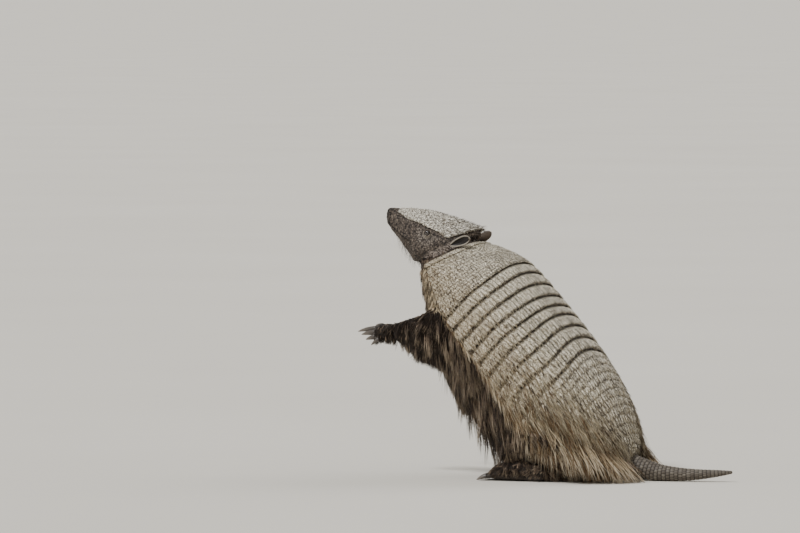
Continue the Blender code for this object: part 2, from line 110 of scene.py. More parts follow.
def smoothRows(rows, at):  # rows of (place, values...) joined by a smooth curve
    table = np.array(rows, float)
    at = np.clip(np.asarray(at, float), table[0, 0], table[-1, 0])
    low = np.clip(np.searchsorted(table[:, 0], at, side="right") - 1, 0, len(table) - 2)
    a, b = table[low], table[low + 1]
    before, after = table[np.maximum(low - 1, 0)], table[np.minimum(low + 2, len(table) - 1)]
    span = b[..., :1] - a[..., :1]
    share = (at[..., None] - a[..., :1]) / span
    startSlope = (b - before) / (b[..., :1] - before[..., :1]) * span
    endSlope = (after - a) / (after[..., :1] - a[..., :1]) * span
    values = a * (2 * share**3 - 3 * share**2 + 1) + b * (3 * share**2 - 2 * share**3)
    values = values + startSlope * (share**3 - 2 * share**2 + share) + endSlope * (share**3 - share**2)
    return values[..., 1:]


def cellNoise(column, row, seed):  # the same number from 0 to 1 each time for a whole-numbered cell
    mixed = np.sin(column * 127.1 + row * 311.7 + seed * 74.7) * 43758.5453
    return mixed - np.floor(mixed)


def softNoise(points, size, seed):  # smooth noise from -1 to 1 with blobs of a size
    total = np.zeros(len(points))
    for k in range(4):
        turn = np.array([[math.sin(seed + 1.7 * k + j * i) for i in (1.0, 2.3, 3.1)] for j in (1, 2, 3)])
        wave = np.sin(points @ turn.T * (2 * math.pi / size) * (0.6 + 0.25 * k) + seed * k)
        total += wave[:, 0] * wave[:, 1] + 0.5 * wave[:, 2]
    return np.clip(total / 3.0, -1, 1)


# The animal's form, the same as the frame's: tables in mm, from which each surface is worked out smoothly.

trunk = {
    "middle": np.array([-0.021, 0.0, 0.132]),
    "tilt": math.radians(50.3),
    # place along the axis, half width, back, belly, widest level, lean
    "sections": (
        (-146, 34, 17, -42, -18, 0.26),
        (-132, 44, 28, -47, -15, 0.25),
        (-117, 53, 39, -54, -10, 0.23),
        (-100, 61, 46, -66, -5, 0.12),
        (-80, 67, 50.5, -80, -1, -0.02),
        (-55, 71, 53.5, -88, 0, -0.05),
        (-20, 74, 55, -94, 0, -0.08),
        (15, 76, 56, -96, 0, -0.11),
        (50, 76, 56, -94, -2, -0.11),
        (85, 74, 53, -91, -4, -0.10),
        (115, 67, 47, -84, -6, -0.08),
        (140, 54, 38, -70, -8, -0.05),
        (157, 38, 27, -45, -9, 0.0),
        (168, 14, 9, -22, -10, 0.0),
    ),
    "squareness": (2.25, 2.0),
    # lower edge of the armour, degrees from the middle of the back, by place
    "margin": (
        (-134, 104), (-119, 106), (-100, 110), (-80, 112), (-30, 108), (57, 106),
        (80, 98), (112, 82), (146, 52), (158, 28), (166, 8),
    ),
}
head = {
    "nose": np.array([-0.188, 0.0, 0.2715]),
    "pitch": math.radians(18.8),
    "length": 86.0,
    # place behind the nose, half width, crown, throat, lean
    "sections": (
        (0.0, 5.5, 7.8, -7.0, -0.36),
        (1.2, 7.2, 9.3, -9.5, -0.34),
        (6, 8.5, 11.2, -13, -0.15),
        (13, 10, 13.5, -15.6, 0.0),
        (22, 13, 16.3, -20.2, 0.0),
        (32, 17, 19.2, -26, 0.02),
        (44, 22, 22, -31.2, 0.1),
        (56, 26, 23.4, -34.5, 0.32),
        (69, 29, 24, -35, 0.65),
        (78, 30, 24, -34.5, 0.88),
        (86, 30, 23.5, -33.5, 1.0),
    ),
    "squareness": 2.15,
    "eye": (59.0, math.radians(73), 3.6),  # place, angle, radius
    # how far down each side the head shield comes, degrees from the crown, by place
    "shield": (
        (11, 45), (15, 49), (26, 60), (41, 60), (54, 60), (65, 60.5), (73, 63), (79, 66), (81.5, 54),
        (83.5, 42),
    ),
}
left = np.array([0.0, -1.0, 0.0])
tailward = np.array([math.cos(trunk["tilt"]), 0.0, -math.sin(trunk["tilt"])])
backward = np.array([math.sin(trunk["tilt"]), 0.0, math.cos(trunk["tilt"])])
behind = np.array([math.cos(head["pitch"]), 0.0, -math.sin(head["pitch"])])
crownward = np.array([math.sin(head["pitch"]), 0.0, math.cos(head["pitch"])])


def ovalPoint(angle, halfWidth, up, down, squareUp, squareDown):
    side, height = np.sin(angle), np.cos(angle)
    square = np.where(height >= 0, squareUp, squareDown)
    across = halfWidth * np.sign(side) * np.abs(side) ** (2 / square)
    rise = np.where(height >= 0, up, -down) * np.abs(height) ** (2 / square)
    return across, rise


def trunkPoint(place, angle, out=0.0):  # place in mm and angle from the back; out is mm off the surface
    halfWidth, back, belly, widest, lean = np.moveaxis(smoothRows(trunk["sections"], place), -1, 0)
    across, rise = ovalPoint(
        angle, halfWidth + out, back - widest + out, widest - belly + out, *trunk["squareness"]
    )
    height = rise + widest
    offset = np.multiply.outer(place + lean * height, tailward)
    offset = offset + np.multiply.outer(height, backward) + np.multiply.outer(across, left)
    return trunk["middle"] + offset * mm


def trunkPlace(points):  # where points lie on the trunk: place along it, height and distance across, in mm
    offset = (points - trunk["middle"]) / mm
    height, across = offset @ backward, offset @ left
    place = offset @ tailward
    return place - smoothRows(trunk["sections"], place)[..., 4] * height, height, across


def marginAngle(place):
    return np.radians(smoothRows(trunk["margin"], place)[..., 0])


def headPoint(place, angle, out=0.0):
    halfWidth, crown, throat, lean = np.moveaxis(smoothRows(head["sections"], place), -1, 0)
    middle, halfHeight = (crown + throat) / 2, (crown - throat) / 2
    square = head["squareness"]
    across, rise = ovalPoint(angle, halfWidth + out, halfHeight + out, halfHeight + out, square, square)
    height = rise + middle
    offset = np.multiply.outer(place + lean * height, behind)
    offset = offset + np.multiply.outer(height, crownward) + np.multiply.outer(across, left)
    return head["nose"] + offset * mm


def headPlace(points):  # the place and angle on the head that points lie at
    fromNose = (points - head["nose"]) / mm
    along, height, across = fromNose @ behind, fromNose @ crownward, fromNose @ left
    place = np.clip(along, 0, head["length"])
    for _ in range(30):
        lean = smoothRows(head["sections"], place)[..., 3]
        place = 0.5 * place + 0.5 * (along - lean * height)
    halfWidth, crown, throat, _ = np.moveaxis(smoothRows(head["sections"], place), -1, 0)
    x, y = across / halfWidth, (height - (crown + throat) / 2) / ((crown - throat) / 2)
    power = head["squareness"] / 2
    angle = np.arctan2(np.sign(x) * np.abs(x) ** power, np.sign(y) * np.abs(y) ** power)
    return place, angle


def shieldReach(place):
    return np.radians(smoothRows(head["shield"], place)[..., 0])


def tubePoint(path, at, turn, out=0.0):  # a point round a limb's path
    rows = [(k, *point, w, h) for k, (point, w, h) in enumerate(path)]
    here = smoothRows(rows, at)
    ahead = unit(smoothRows(rows, at + 0.05)[..., :3] - smoothRows(rows, at - 0.05)[..., :3])
    side = unit(np.cross(ahead, (0.0, 0.0, 1.0)))
    up = np.cross(side, ahead)
    width, height = here[..., 3] + out, here[..., 4] + out
    offset = side * (width * np.cos(turn))[..., None] + up * (height * np.sin(turn))[..., None]
    return (here[..., :3] + offset) * mm


# Meshes

def bentGrid(columns, rows):  # a flat grid, and its corners' shares across and along, from 0 to 1
    meshMaker = bmesh.new()
    bmesh.ops.create_grid(meshMaker, x_segments=columns, y_segments=rows, size=0.5)
    mesh = bpy.data.meshes.new("grid")
    meshMaker.to_mesh(mesh)
    meshMaker.free()
    return mesh, readPoints(mesh)[:, :2] + 0.5


def readPoints(mesh):
    points = np.empty(len(mesh.vertices) * 3)
    mesh.vertices.foreach_get("co", points)
    return points.reshape(-1, 3)


def writePoints(mesh, points):
    mesh.vertices.foreach_set("co", np.ascontiguousarray(points, dtype=np.float32).ravel())
    mesh.update()


def readNormals(mesh):
    normals = np.empty(len(mesh.vertices) * 3)
    mesh.vertices.foreach_get("normal", normals)
    return normals.reshape(-1, 3)


def writeAttribute(mesh, name, values):
    attribute = mesh.attributes.new(name, "FLOAT", "POINT")
    attribute.data.foreach_set("value", np.ascontiguousarray(values, dtype=np.float32))


def writeMap(mesh, name, places):  # a UV map from one place for each vertex
    corners = np.empty(len(mesh.loops), dtype=np.int32)
    mesh.loops.foreach_get("vertex_index", corners)
    layer = mesh.uv_layers.new(name=name)
    layer.uv.foreach_set("vector", np.ascontiguousarray(places[corners], dtype=np.float32).ravel())


def closeUp(mesh, distance=1e-6):  # merge a tube's seam and ends, cap what is open, and face outwards
    meshMaker = bmesh.new()
    meshMaker.from_mesh(mesh)
    bmesh.ops.remove_doubles(meshMaker, verts=meshMaker.verts, dist=distance)
    rim = [edge for edge in meshMaker.edges if edge.is_boundary]
    if rim:
        bmesh.ops.holes_fill(meshMaker, edges=rim, sides=0)
    bmesh.ops.recalc_face_normals(meshMaker, faces=meshMaker.faces)
    meshMaker.to_mesh(mesh)
    meshMaker.free()
    return mesh


def neighbourMean(mesh):  # a function that averages values over each vertex's neighbours
    edges = np.empty(len(mesh.edges) * 2, dtype=np.int32)
    mesh.edges.foreach_get("vertices", edges)
    edges = edges.reshape(-1, 2)
    ends = np.concatenate((edges[:, 0], edges[:, 1]))
    others = np.concatenate((edges[:, 1], edges[:, 0]))
    counts = np.maximum(np.bincount(ends, minlength=len(mesh.vertices)), 1)

    def mean(values):
        if values.ndim == 1:
            return np.bincount(ends, weights=values[others], minlength=len(values)) / counts
        return np.stack([mean(values[:, k]) for k in range(values.shape[1])], axis=1)

    return mean


def relax(values, mean, rounds, share=0.5):
    for _ in range(rounds):
        values = values + (mean(values) - values) * share
    return values


# Armour: each plate is a fine grid laid on the body, with its scutes raised from it

armour = {
    "fineness": (1.03, 1.14),  # mm between the grid's lines, across and along
    "wall": 1.7,
    "rearRound": 1.3,  # how wide the rounding of a plate's rear and side edges is, and how far they drop
    "sideRound": 1.6,
    "edgeDrop": 0.9,
    "seamWidth": 0.55,
    "seamDepth": 0.55,
    "dome": 0.32,  # how far a scute's middle swells, and how much of its width the slope takes up
    "domeSlope": 0.42,
    "ridge": 0.3,  # the long figure down the middle of each scute, and its share of the width
    "ridgeWidth": 0.17,
    "beads": 0.16,  # the small beads on each side of it, and the mm from one to the next
    "beadStep": 2.3,
    "gap": 0.5,
    "tuck": 5.0,  # how far a band's front runs in under the plate before it
}
napeFront, shieldFront, pelvisEnd = (-134.0, 3.0), (-128.5, 3.5), 163.0
bandEdges = ((-77, 5), (-62, 5), (-45, 4), (-28, 3), (-14, 4), (-1, 7), (15, 9), (31, 12), (47, 14))


def scutePattern(across, along, width, length, jitter, stagger, seed):
    # The nearest scute to each point: mm to its seam, mm from its middle across and along, and its number
    squeeze = width / length
    row0, bestFirst, bestSecond = np.floor(along / length), None, None
    for rowStep in (-1, 0, 1):
        row = row0 + rowStep
        shift = 0.5 * stagger * np.mod(row, 2)
        column0 = np.floor(across / width - shift)
        for columnStep in (-1, 0, 1):
            column = column0 + columnStep
            middleX = (column + 0.5 + shift + jitter * (cellNoise(column, row, seed) - 0.5)) * width
            middleY = (row + 0.5 + jitter * (cellNoise(column, row, seed + 5) - 0.5)) * length
            dx, dy = across - middleX, (along - middleY) * squeeze
            found = np.stack((dx * dx + dy * dy, middleX, middleY, cellNoise(column, row, seed + 9)))
            if bestFirst is None:
                bestFirst, bestSecond = found, np.full_like(found, 1e6)
                continue
            nearer = found[0] < bestFirst[0]
            second = np.where(nearer, bestFirst, found)
            bestSecond = np.where(second[0] < bestSecond[0], second, bestSecond)
            bestFirst = np.where(nearer, found, bestFirst)
    apart = np.hypot(bestSecond[1] - bestFirst[1], (bestSecond[2] - bestFirst[2]) * squeeze)
    toSeam = (bestSecond[0] - bestFirst[0]) / (2 * np.maximum(apart, 1e-3))
    return toSeam, across - bestFirst[1], along - bestFirst[2], bestFirst[3]


def scuteRelief(across, along, kind):
    toSeam, dx, dy, number = scutePattern(
        across, along, kind["width"], kind["length"], kind["jitter"], kind["stagger"], kind["seed"]
    )
    seam = 1 - ramp(toSeam, 0.0, armour["seamWidth"])
    dome = ramp(toSeam, 0.0, kind["width"] * armour["domeSlope"])
    ridge = np.exp(-((dx / (kind["width"] * armour["ridgeWidth"])) ** 2))
    ridge = ridge * ramp(kind["length"] * 0.5 - np.abs(dy), 0, 1.5)
    beads = 0.5 + 0.5 * np.cos(2 * math.pi * dy / armour["beadStep"] + number * 6)
    beads = beads * (1 - ridge) * dome
    relief = armour["dome"] * dome - armour["seamDepth"] * seam
    relief = relief + kind["ornament"] * (armour["ridge"] * ridge + armour["beads"] * beads)
    relief = relief + kind["tilt"] * dy / kind["length"]
    return relief, seam, np.clip(ridge * kind["ornament"], 0, 1), number


def layPlate(name, rows, kind, lobe=0.0):
    # rows are (place, sweep, height of the outer face); the plate runs from the first to the last
    first, last = rows[0][0], rows[-1][0]
    middle = (first + last) / 2
    rib = trunkPoint(middle, marginAngle(middle) * np.linspace(0, 1, 60))
    halfArc = np.linalg.norm(np.diff(rib, axis=0), axis=1).sum() / mm
    columns = 2 * int(halfArc / armour["fineness"][0])
    lines = int((last - first) / armour["fineness"][1])
    mesh, shares = bentGrid(columns, lines)
    place = first + (last - first) * shares[:, 1]
    sweep, height = np.moveaxis(smoothRows(rows, place), -1, 0)
    share = 2 * shares[:, 0] - 1
    margin = marginAngle(place + sweep)
    ends = 1 - lobe * (1 - np.sqrt(np.clip(1 - (2 * shares[:, 1] - 1) ** 4, 0, 1)))
    angle = margin * share * ends
    swept = sweep * np.sin(np.minimum(np.abs(angle) * 1.4, math.pi / 2)) ** 2
    bare = trunkPoint(place + swept, angle, height)
    order = np.lexsort((shares[:, 0], np.round(shares[:, 1], 6)))
    inRows = bare[order].reshape(lines + 1, columns + 1, 3)
    steps = np.linalg.norm(np.diff(inRows, axis=1), axis=2) / mm
    arc = np.concatenate((np.zeros((lines + 1, 1)), np.cumsum(steps, axis=1)), axis=1)
    arc = arc - arc[:, columns // 2][:, None]
    toEdge = arc[:, -1][:, None] - np.abs(arc)
    across, inward = np.empty(len(bare)), np.empty(len(bare))
    across[order], inward[order] = arc.ravel(), toEdge.ravel()
    along = place - rows[kind.get("startRow", 0)][0]
    relief, seam, ridge, number = scuteRelief(across, along, kind)
    covered, tuck = np.ones(len(along)), np.zeros(len(along))
    if kind.get("startRow"):
        # tuck marks a band's front that runs in under the plate before it, where the horn paints shade
        covered, tuck = ramp(along, -0.5, 2.5), 1 - ramp(along, -1.0, 3.5)
    rearEdge, sideEdge = ramp(last - place, 0.0, armour["rearRound"]), ramp(inward, 0.0, armour["sideRound"])
    relief = relief * covered * sideEdge - armour["edgeDrop"] * (2 - rearEdge - sideEdge)
    writePoints(mesh, trunkPoint(place + swept, angle, height + relief))
    marks = {
        "seam": np.clip(seam * covered, 0, 1), "ridge": ridge * covered, "tint": number, "tuck": tuck,
        "flank": ramp(np.abs(share), 0.35, 0.95),
    }
    finishPlate(name + "_scutes", mesh, marks, (across, along), armourHorn, name, armour["wall"])


def finishPlate(name, mesh, marks, places, material, node, thickness):
    for mark, values in marks.items():
        writeAttribute(mesh, mark, values)
    writeMap(mesh, "plate", np.stack(places, axis=1) * mm)
    piece = newPiece(name, mesh, material, [node])
    points, normals = readPoints(mesh), readNormals(mesh)
    if np.mean(np.sum((points - points.mean(axis=0)) * normals, axis=1)) < 0:
        mesh.flip_normals()
    wall = piece.modifiers.new("wall", "SOLIDIFY")
    wall.thickness = thickness * mm
    wall.offset = -1.0


def makeArmourHorn(name, base, pale, dark, seamDirtAndShadeColour, streak):
    # Dry keratin scutes over bone: matt, with worn pale ridges, dirt in the seams and fine streaks along them
    # Each band's tucked front is painted dark in the seams' colour as shade.
    material, tree, shader = newMaterial(name, 0.62, 0.35)
    place = addNode(tree, "ShaderNodeUVMap", uv_map="plate")
    seam, ridge, tint, tuck, flank = (
        addNode(tree, "ShaderNodeAttribute", attribute_name=key).outputs["Fac"]
        for key in ("seam", "ridge", "tint", "tuck", "flank")
    )
    stretched = addNode(tree, "ShaderNodeMapping", {"Vector": place, "Scale": streak})
    noise = {"Vector": stretched, "Scale": 1.0, "Detail": 3.0, "Roughness": 0.6}
    streaks = addNode(tree, "ShaderNodeTexNoise", noise)
    # 1.1 mm grit, and stains some 22 mm wide
    specks = addNode(tree, "ShaderNodeTexNoise", {"Vector": place, "Scale": 900.0, "Detail": 2.0})
    blotches = addNode(tree, "ShaderNodeTexNoise", {"Vector": place, "Scale": 45.0, "Detail": 2.0})
    streaky, mottle, speckle = (
        addNode(tree, "ShaderNodeMapRange", inputs, clamp=True)
        for inputs in (
            {0: streaks, 1: 0.41, 2: 0.6},
            {0: blotches, 1: 0.3, 2: 0.7, 3: 0.78, 4: 1.12},
            {0: specks, 1: 0.43, 2: 0.57, 3: 0.35, 4: 1.5},
        )
    )
    # the seams' dark joints and the painted shade on each band's tucked front, both in the seams' colour
    deep = addNode(tree, "ShaderNodeMath", {0: seam, 1: tuck}, operation="MAXIMUM")
    lift, worn, shade, warm, seamDirtAndTuckShade = (
        addNode(tree, "ShaderNodeMath", {0: first, 1: second}, operation="MULTIPLY")
        for first, second in ((streaky, 0.75), (ridge, 0.45), (mottle, speckle), (flank, 0.22), (deep, 0.85))
    )
    tone = addNode(tree, "ShaderNodeMix", {0: tint, 6: dark, 7: base}, data_type="RGBA")
    for share in (lift, worn):
        tone = addNode(tree, "ShaderNodeMix", {0: share, 6: tone, 7: pale}, data_type="RGBA")
    tone = addNode(tree, "ShaderNodeVectorMath", {0: tone, "Scale": shade}, operation="SCALE")
    for share, top in ((warm, "9C7D55"), (seamDirtAndTuckShade, seamDirtAndShadeColour)):
        tone = addNode(tree, "ShaderNodeMix", {0: share, 6: tone, 7: top}, data_type="RGBA")
    grain = addNode(tree, "ShaderNodeBump", {"Height": streaks, "Strength": 0.5, "Distance": 0.0005})
    dull = addNode(tree, "ShaderNodeMapRange", {0: specks, 3: 0.5, 4: 0.78})
    setInputs(tree, shader, {"Base Color": tone, "Normal": grain, "Roughness": dull})
    return material


# Scutes: size in mm, how far they stray, whether rows are staggered, how much figure they bear, their tilt
bandScutes = {"width": 4.8, "jitter": 0.16, "stagger": 0, "ornament": 1.0, "tilt": 0.25, "startRow": 2}
shoulderScutes = {
    "width": 3.3, "length": 4.2, "jitter": 0.5, "stagger": 1, "ornament": 0.75, "tilt": 0.2, "seed": 3,
}
pelvicScutes = {
    "width": 4.8, "length": 9.2, "jitter": 0.22, "stagger": 1, "ornament": 1.0, "tilt": 0.55, "startRow": 2,
    "seed": 7,
}
armourHorn = makeArmourHorn("dryArmourHorn", "A2977F", "F2EAD6", "615643", "2A231C", (800.0, 110.0, 1.0))
bandFront = ((-1.5, -2.2), (1.0, -1.3), (4.5, 0.0))  # mm behind a band's front, and the height there


def layArmour():
    gap, tuck = armour["gap"], armour["tuck"]
    (front, sweep), (shield, shieldSweep), (firstBand, bandSweep) = napeFront, shieldFront, bandEdges[0]
    rows = ((front, sweep, -0.9), (front + 2, 3.2, 0.2), (shield - gap, shieldSweep, 0.5))
    layPlate("nape_band", rows, dict(shoulderScutes, length=6.0, jitter=0.15, seed=2), 0.03)
    rows = (
        (shield - 1.5, 3.5, -2.6), (shield + gap, 3.5, -1.0), (shield + 4, 4, 0.2), (-113, 4, 0.1),
        (-95, 4.5, 0.1), (firstBand - 4, bandSweep, 0.4), (firstBand - gap, bandSweep, 0.8),
    )
    layPlate("shoulder_shield", rows, shoulderScutes, 0.02)
    for k, ((start, startSweep), (end, endSweep)) in enumerate(zip(bandEdges, bandEdges[1:]), 1):
        rows = [(start - tuck, startSweep, -3.4)]
        rows += [(start + back, startSweep, height) for back, height in bandFront]
        rows += [(end - 5, endSweep, 0.5), (end - gap, endSweep, 0.8)]
        layPlate(f"band_{k}", rows, dict(bandScutes, length=end - start - 1.5, seed=10 + k), 0.035)
    place, sweep = bandEdges[-1]
    rows = [(place - tuck, sweep, -3.4)] + [(place + back, sweep, height) for back, height in bandFront]
    for at in (60, 80, 103, 124, 142, 153, 160):
        fade = 1 - ((at - place) / (pelvisEnd + 4 - place)) ** 2
        rows.append((at, sweep * fade, 0.1))
    layPlate("pelvic_shield", rows, pelvicScutes)
    print("armour laid")


layArmour()


# Head shield: irregular plates with one smooth dome

headScutes = {
    "width": 4.6, "length": 5.0, "jitter": 0.62, "stagger": 1, "ornament": 0.25, "tilt": 0.0, "seed": 21,
    "columns": 80, "lines": 96, "wall": 1.8,
    "scallop": (0.03, 5.2),  # the depth of its side edges' scallops as a share of the reach, and their mm
    "rounded": 1.8,
    "figure": (1.3, 0.7),  # how much of the scutes' relief it has, and how far plates stand at odd heights
}
headHorn = makeArmourHorn("paleHeadHorn", "C9C2B2", "EEE9DC", "8B8170", "3C342B", (560.0, 420.0, 1.0))


def layHeadShield():
    first, last = head["shield"][0][0], head["shield"][-1][0]
    mesh, shares = bentGrid(headScutes["columns"], headScutes["lines"])
    place = first + (last - first) * shares[:, 1]
    share = 2 * shares[:, 0] - 1
    reach = shieldReach(place)
    scallopDepth, scallopLength = headScutes["scallop"]
    scallop = np.abs(np.sin(place * math.pi / scallopLength)) * ramp(np.abs(share), 0.8, 1)
    angle = reach * share * (1 + scallopDepth * scallop)
    across = angle * smoothRows(head["sections"], place)[..., 0]
    relief, seam, ridge, number = scuteRelief(across, place, headScutes)
    inward = np.minimum((1 - np.abs(share)) * reach * 26, np.minimum(place - first, last - place) * 1.2)
    edge = ramp(inward, 0.0, headScutes["rounded"])
    figure, uneven = headScutes["figure"]
    relief = (relief * figure + uneven * (number - 0.5)) * edge - armour["edgeDrop"] * (1 - edge)
    writePoints(mesh, headPoint(place, angle, 0.3 + relief))
    # darker towards the shield's front edge, in the seams' colour
    tuck = 0.5 * (1 - ramp(place, first, first + 6))
    marks = {"seam": seam, "ridge": ridge, "tint": number, "tuck": tuck, "flank": np.zeros(len(place))}
    wall = headScutes["wall"]
    finishPlate("head_scutes", mesh, marks, (across, place), headHorn, "head_shield", wall)


layHeadShield()
print("head shield laid")


# Limbs: each path runs down a left limb as in the frame, with half width and half height, and y is mirrored
# for the right

forelegPath = (
    ((-63, -30, 158), 16, 18), ((-89, -41, 157), 23, 31), ((-109, -48, 152), 22, 29),
    ((-125, -50, 151.5), 17, 22), ((-140, -49, 152), 12, 15.5), ((-152, -47.5, 152.9), 9, 10.5),
    ((-160, -47, 152.1), 8, 8.0), ((-165, -46.5, 151.5), 8.2, 8.2), ((-171, -46, 150.6), 8.2, 8.4),
    ((-176, -45.6, 149.7), 7.2, 7.8),
)
hindlegPath = (
    ((65, -38, 64), 27, 32), ((47, -44, 60), 34, 40), ((23, -48, 52), 33, 38), ((3, -51, 42), 27, 30),
    ((-12, -55, 30), 19, 20), ((-22, -57, 20), 13, 12),
)
footPath = (
    ((27, -58, 7), 4.6, 5.2), ((21, -58, 8.5), 8.2, 8.7), ((5, -58, 10.5), 11, 11.2),
    ((-11, -58.5, 11), 12.5, 11.6), ((-24, -59, 9), 13.4, 9.4), ((-33, -59, 6.5), 12.6, 6.6),
)
tailPath = (
    ((69, 0, 22), 14, 13), ((89, 0, 18), 12.5, 12), ((107, 1, 13.5), 10.8, 10.8), ((125, 4, 9.0), 9, 9.2),
    ((145, 8, 7.5), 7.2, 7.4), ((165, 13, 7.4), 5.6, 5.9), ((185, 18, 8.8), 3.7, 4.1),
    ((203, 21, 10.5), 1.5, 1.8),
)
pawDrop = 9.0  # the right forepaw is held lower and closer
# Each toe: place across, its length, its claw's length, its half thickness, its splay in degrees
toes = {
    "fore": {
        "base": (-175, -45.6, 149.8), "droop": 0.02, "roll": math.radians(48),
        "rows": (
            (9.8, 2.2, 8.5, 2.3, 8), (5.1, 7.6, 23.5, 3.0, 0.5), (0.0, 7.4, 17, 3.1, 0.5),
            (-5.5, 5.5, 10.5, 2.8, -7), (-10.0, 0, 8.5, 2.4, -38),
        ),
    },
    "hind": {
        "base": (-33, -59, 5.2), "droop": 0.16, "roll": 0.0,
        "rows": (
            (11, 5, 7, 2.6, 24), (5.8, 8, 10, 2.9, 11), (0.3, 9, 11.5, 3.0, 0), (-5.2, 8, 10.5, 2.9, -11),
            (-10.8, 6, 8, 2.7, -24),
        ),
    },
}


def heldPoint(point, side):  # a foreleg's point on one side, with the right paw lowered
    x, y, z = point
    reach = (x - forelegPath[0][0][0]) / (forelegPath[-1][0][0] - forelegPath[0][0][0])
    drop = pawDrop * reach**2 if side < 0 else 0.0
    return x + 0.7 * drop, y * side, z - drop


def limbPath(path, side):
    if path is forelegPath:
        return [(heldPoint(point, side), w, h) for point, w, h in path]
    return [((x, y * side, z), w, h) for (x, y, z), w, h in path]


def pawWays(kind, side):  # the ways towards a paw's inner toe and out of its palm
    roll = toes[kind]["roll"]
    inward = np.array([0, math.cos(roll) * side, math.sin(roll)])
    return inward, np.array([0, math.sin(roll) * side, -math.cos(roll)])


def toeRows(kind, side):  # where each toe starts, its heading, length, claw's length, half thickness, in mm
    facts = toes[kind]
    x, y, z = facts["base"]
    base = np.array(heldPoint((x, y, z), side) if kind == "fore" else (x, y * side, z))
    inward, _ = pawWays(kind, side)
    rows = []
    for across, length, clawLength, thick, splay in facts["rows"]:
        turn = math.radians(splay)
        heading = unit(np.array([-math.cos(turn), 0, -facts["droop"]]) + inward * math.sin(turn))
        rows.append((base + inward * across, heading, length, clawLength, thick))
    return rows


# Skin: one surface over head, neck, trunk and limbs, sunk by the depth of the coat

skinFacts = {
    "voxel": 2.0,  # mm
    "swell": 0.5,  # joins the frame's nodes over the gaps between them
    "clearOfShield": 2.6,
    "coat": {  # how deep it is, in mm
        "trunk": 6.5, "neck": 3.0, "hindleg": 5.5, "shoulder": 5.5, "wrist": 1.2, "face": 0.35, "foot": 0.3,
    },
    "reach": 0.012,  # metres within which a point belongs to a node
    "depthRounds": 12,
    "relaxRounds": 14,
    "headGrid": (96, 84),
    "limbGrid": (32, 24),
    # balls that fill out the nose and the lips: behind the nose, above its axis, across, radius
    "nosePad": ((0.6, 5.2, 2.6, 4.3), (1.2, 0.0, 3.0, 3.6), (3.6, -5.6, 2.6, 3.8)),
}
fleshNodes = ["trunk", "neck", "head"] + [
    f"{part}_{side}" for part in ("foreleg", "forepaw", "hindleg", "hindfoot") for side in ("left", "right")
]


def addNodeCopy(meshMaker, node):  # a merged copy of a node, a little swollen
    copy = bmesh.new()
    copy.from_mesh(nodes[node].data)
    bmesh.ops.remove_doubles(copy, verts=copy.verts, dist=1e-5)
    copy.normal_update()
    for vertex in copy.verts:
        vertex.co += vertex.normal * skinFacts["swell"] * mm
    mesh = bpy.data.meshes.new("copy")
    copy.to_mesh(mesh)
    copy.free()
    meshMaker.from_mesh(mesh)
    bpy.data.meshes.remove(mesh)


def addTube(meshMaker, place, columns, rows):  # closed; place turns shares round and along into points
    mesh, shares = bentGrid(columns, rows)
    writePoints(mesh, place(shares[:, 0], shares[:, 1]))
    meshMaker.from_mesh(closeUp(mesh, 2e-6))
    bpy.data.meshes.remove(mesh)


def addBeads(meshMaker, start, end, startRadius, endRadius, count, swell=0.0):  # a string of balls, in mm
    for k in range(count):
        share = k / (count - 1)
        radius = startRadius + (endRadius - startRadius) * share
        radius *= 1 + swell * math.sin(math.pi * share * 2.0) ** 2
        made = bmesh.ops.create_icosphere(meshMaker, subdivisions=2, radius=radius * mm)
        bmesh.ops.translate(meshMaker, verts=made["verts"], vec=Vector((start + (end - start) * share) * mm))


def headSurface(around, along):
    place = (head["length"] + 2.0) * along
    angle = 2 * math.pi * around
    turned = np.where(angle > math.pi, angle - 2 * math.pi, angle)
    under = ramp(shieldReach(place) + 0.05 - np.abs(turned), -0.03, 0.06)
    under = under * ramp(place, head["shield"][0][0] - 1.5, head["shield"][0][0] + 1.0)
    return headPoint(place, angle, -skinFacts["clearOfShield"] * under)


def joinFlesh():
    meshMaker = bmesh.new()
    for node in ("trunk", "neck", "foreleg_left", "foreleg_right", "hindleg_left", "hindleg_right"):
        addNodeCopy(meshMaker, node)
    addTube(meshMaker, headSurface, *skinFacts["headGrid"])
    for part in skinFacts["nosePad"]:
        along, up, across, radius = part
        for side in (1, -1):
            centre = head["nose"] / mm + behind * along + crownward * up + left * across * side
            addBeads(meshMaker, centre, centre + behind * 3.0, radius, radius, 2)
    for side in (1, -1):
        for path in (limbPath(forelegPath, side)[4:], limbPath(footPath, side)):
            def place(around, along):
                return tubePoint(path, along * (len(path) - 1), 2 * math.pi * around)

            addTube(meshMaker, place, *skinFacts["limbGrid"])
        for kind in ("fore", "hind"):
            for base, heading, length, _, thick in toeRows(kind, side):
                start, end = base - heading * 7, base + heading * (length + 0.8)
                addBeads(meshMaker, start, end, 1.3 * thick, 1.02 * thick, 9, 0.1)
    mesh = bpy.data.meshes.new("flesh")
    meshMaker.to_mesh(mesh)
    meshMaker.free()
    flesh = bpy.data.objects.new("flesh", mesh)
    bpy.context.scene.collection.objects.link(flesh)
    remesh = flesh.modifiers.new("one", "REMESH")
    remesh.mode = "VOXEL"
    remesh.voxel_size = skinFacts["voxel"] * mm
    joined = bpy.data.meshes.new_from_object(flesh.evaluated_get(bpy.context.evaluated_depsgraph_get()))
    bpy.data.objects.remove(flesh)
    return joined


def nearestNodes(points):  # the number in fleshNodes of the node that each point belongs to
    apart = []
    for node in fleshNodes:
        meshMaker = bmesh.new()
        meshMaker.from_mesh(nodes[node].data)
        tree = BVHTree.FromBMesh(meshMaker)
        meshMaker.free()
        found = (tree.find_nearest(point, skinFacts["reach"])[3] for point in points.tolist())
        apart.append([1.0 if distance is None else distance for distance in found])
    return np.argmin(np.array(apart), axis=0)


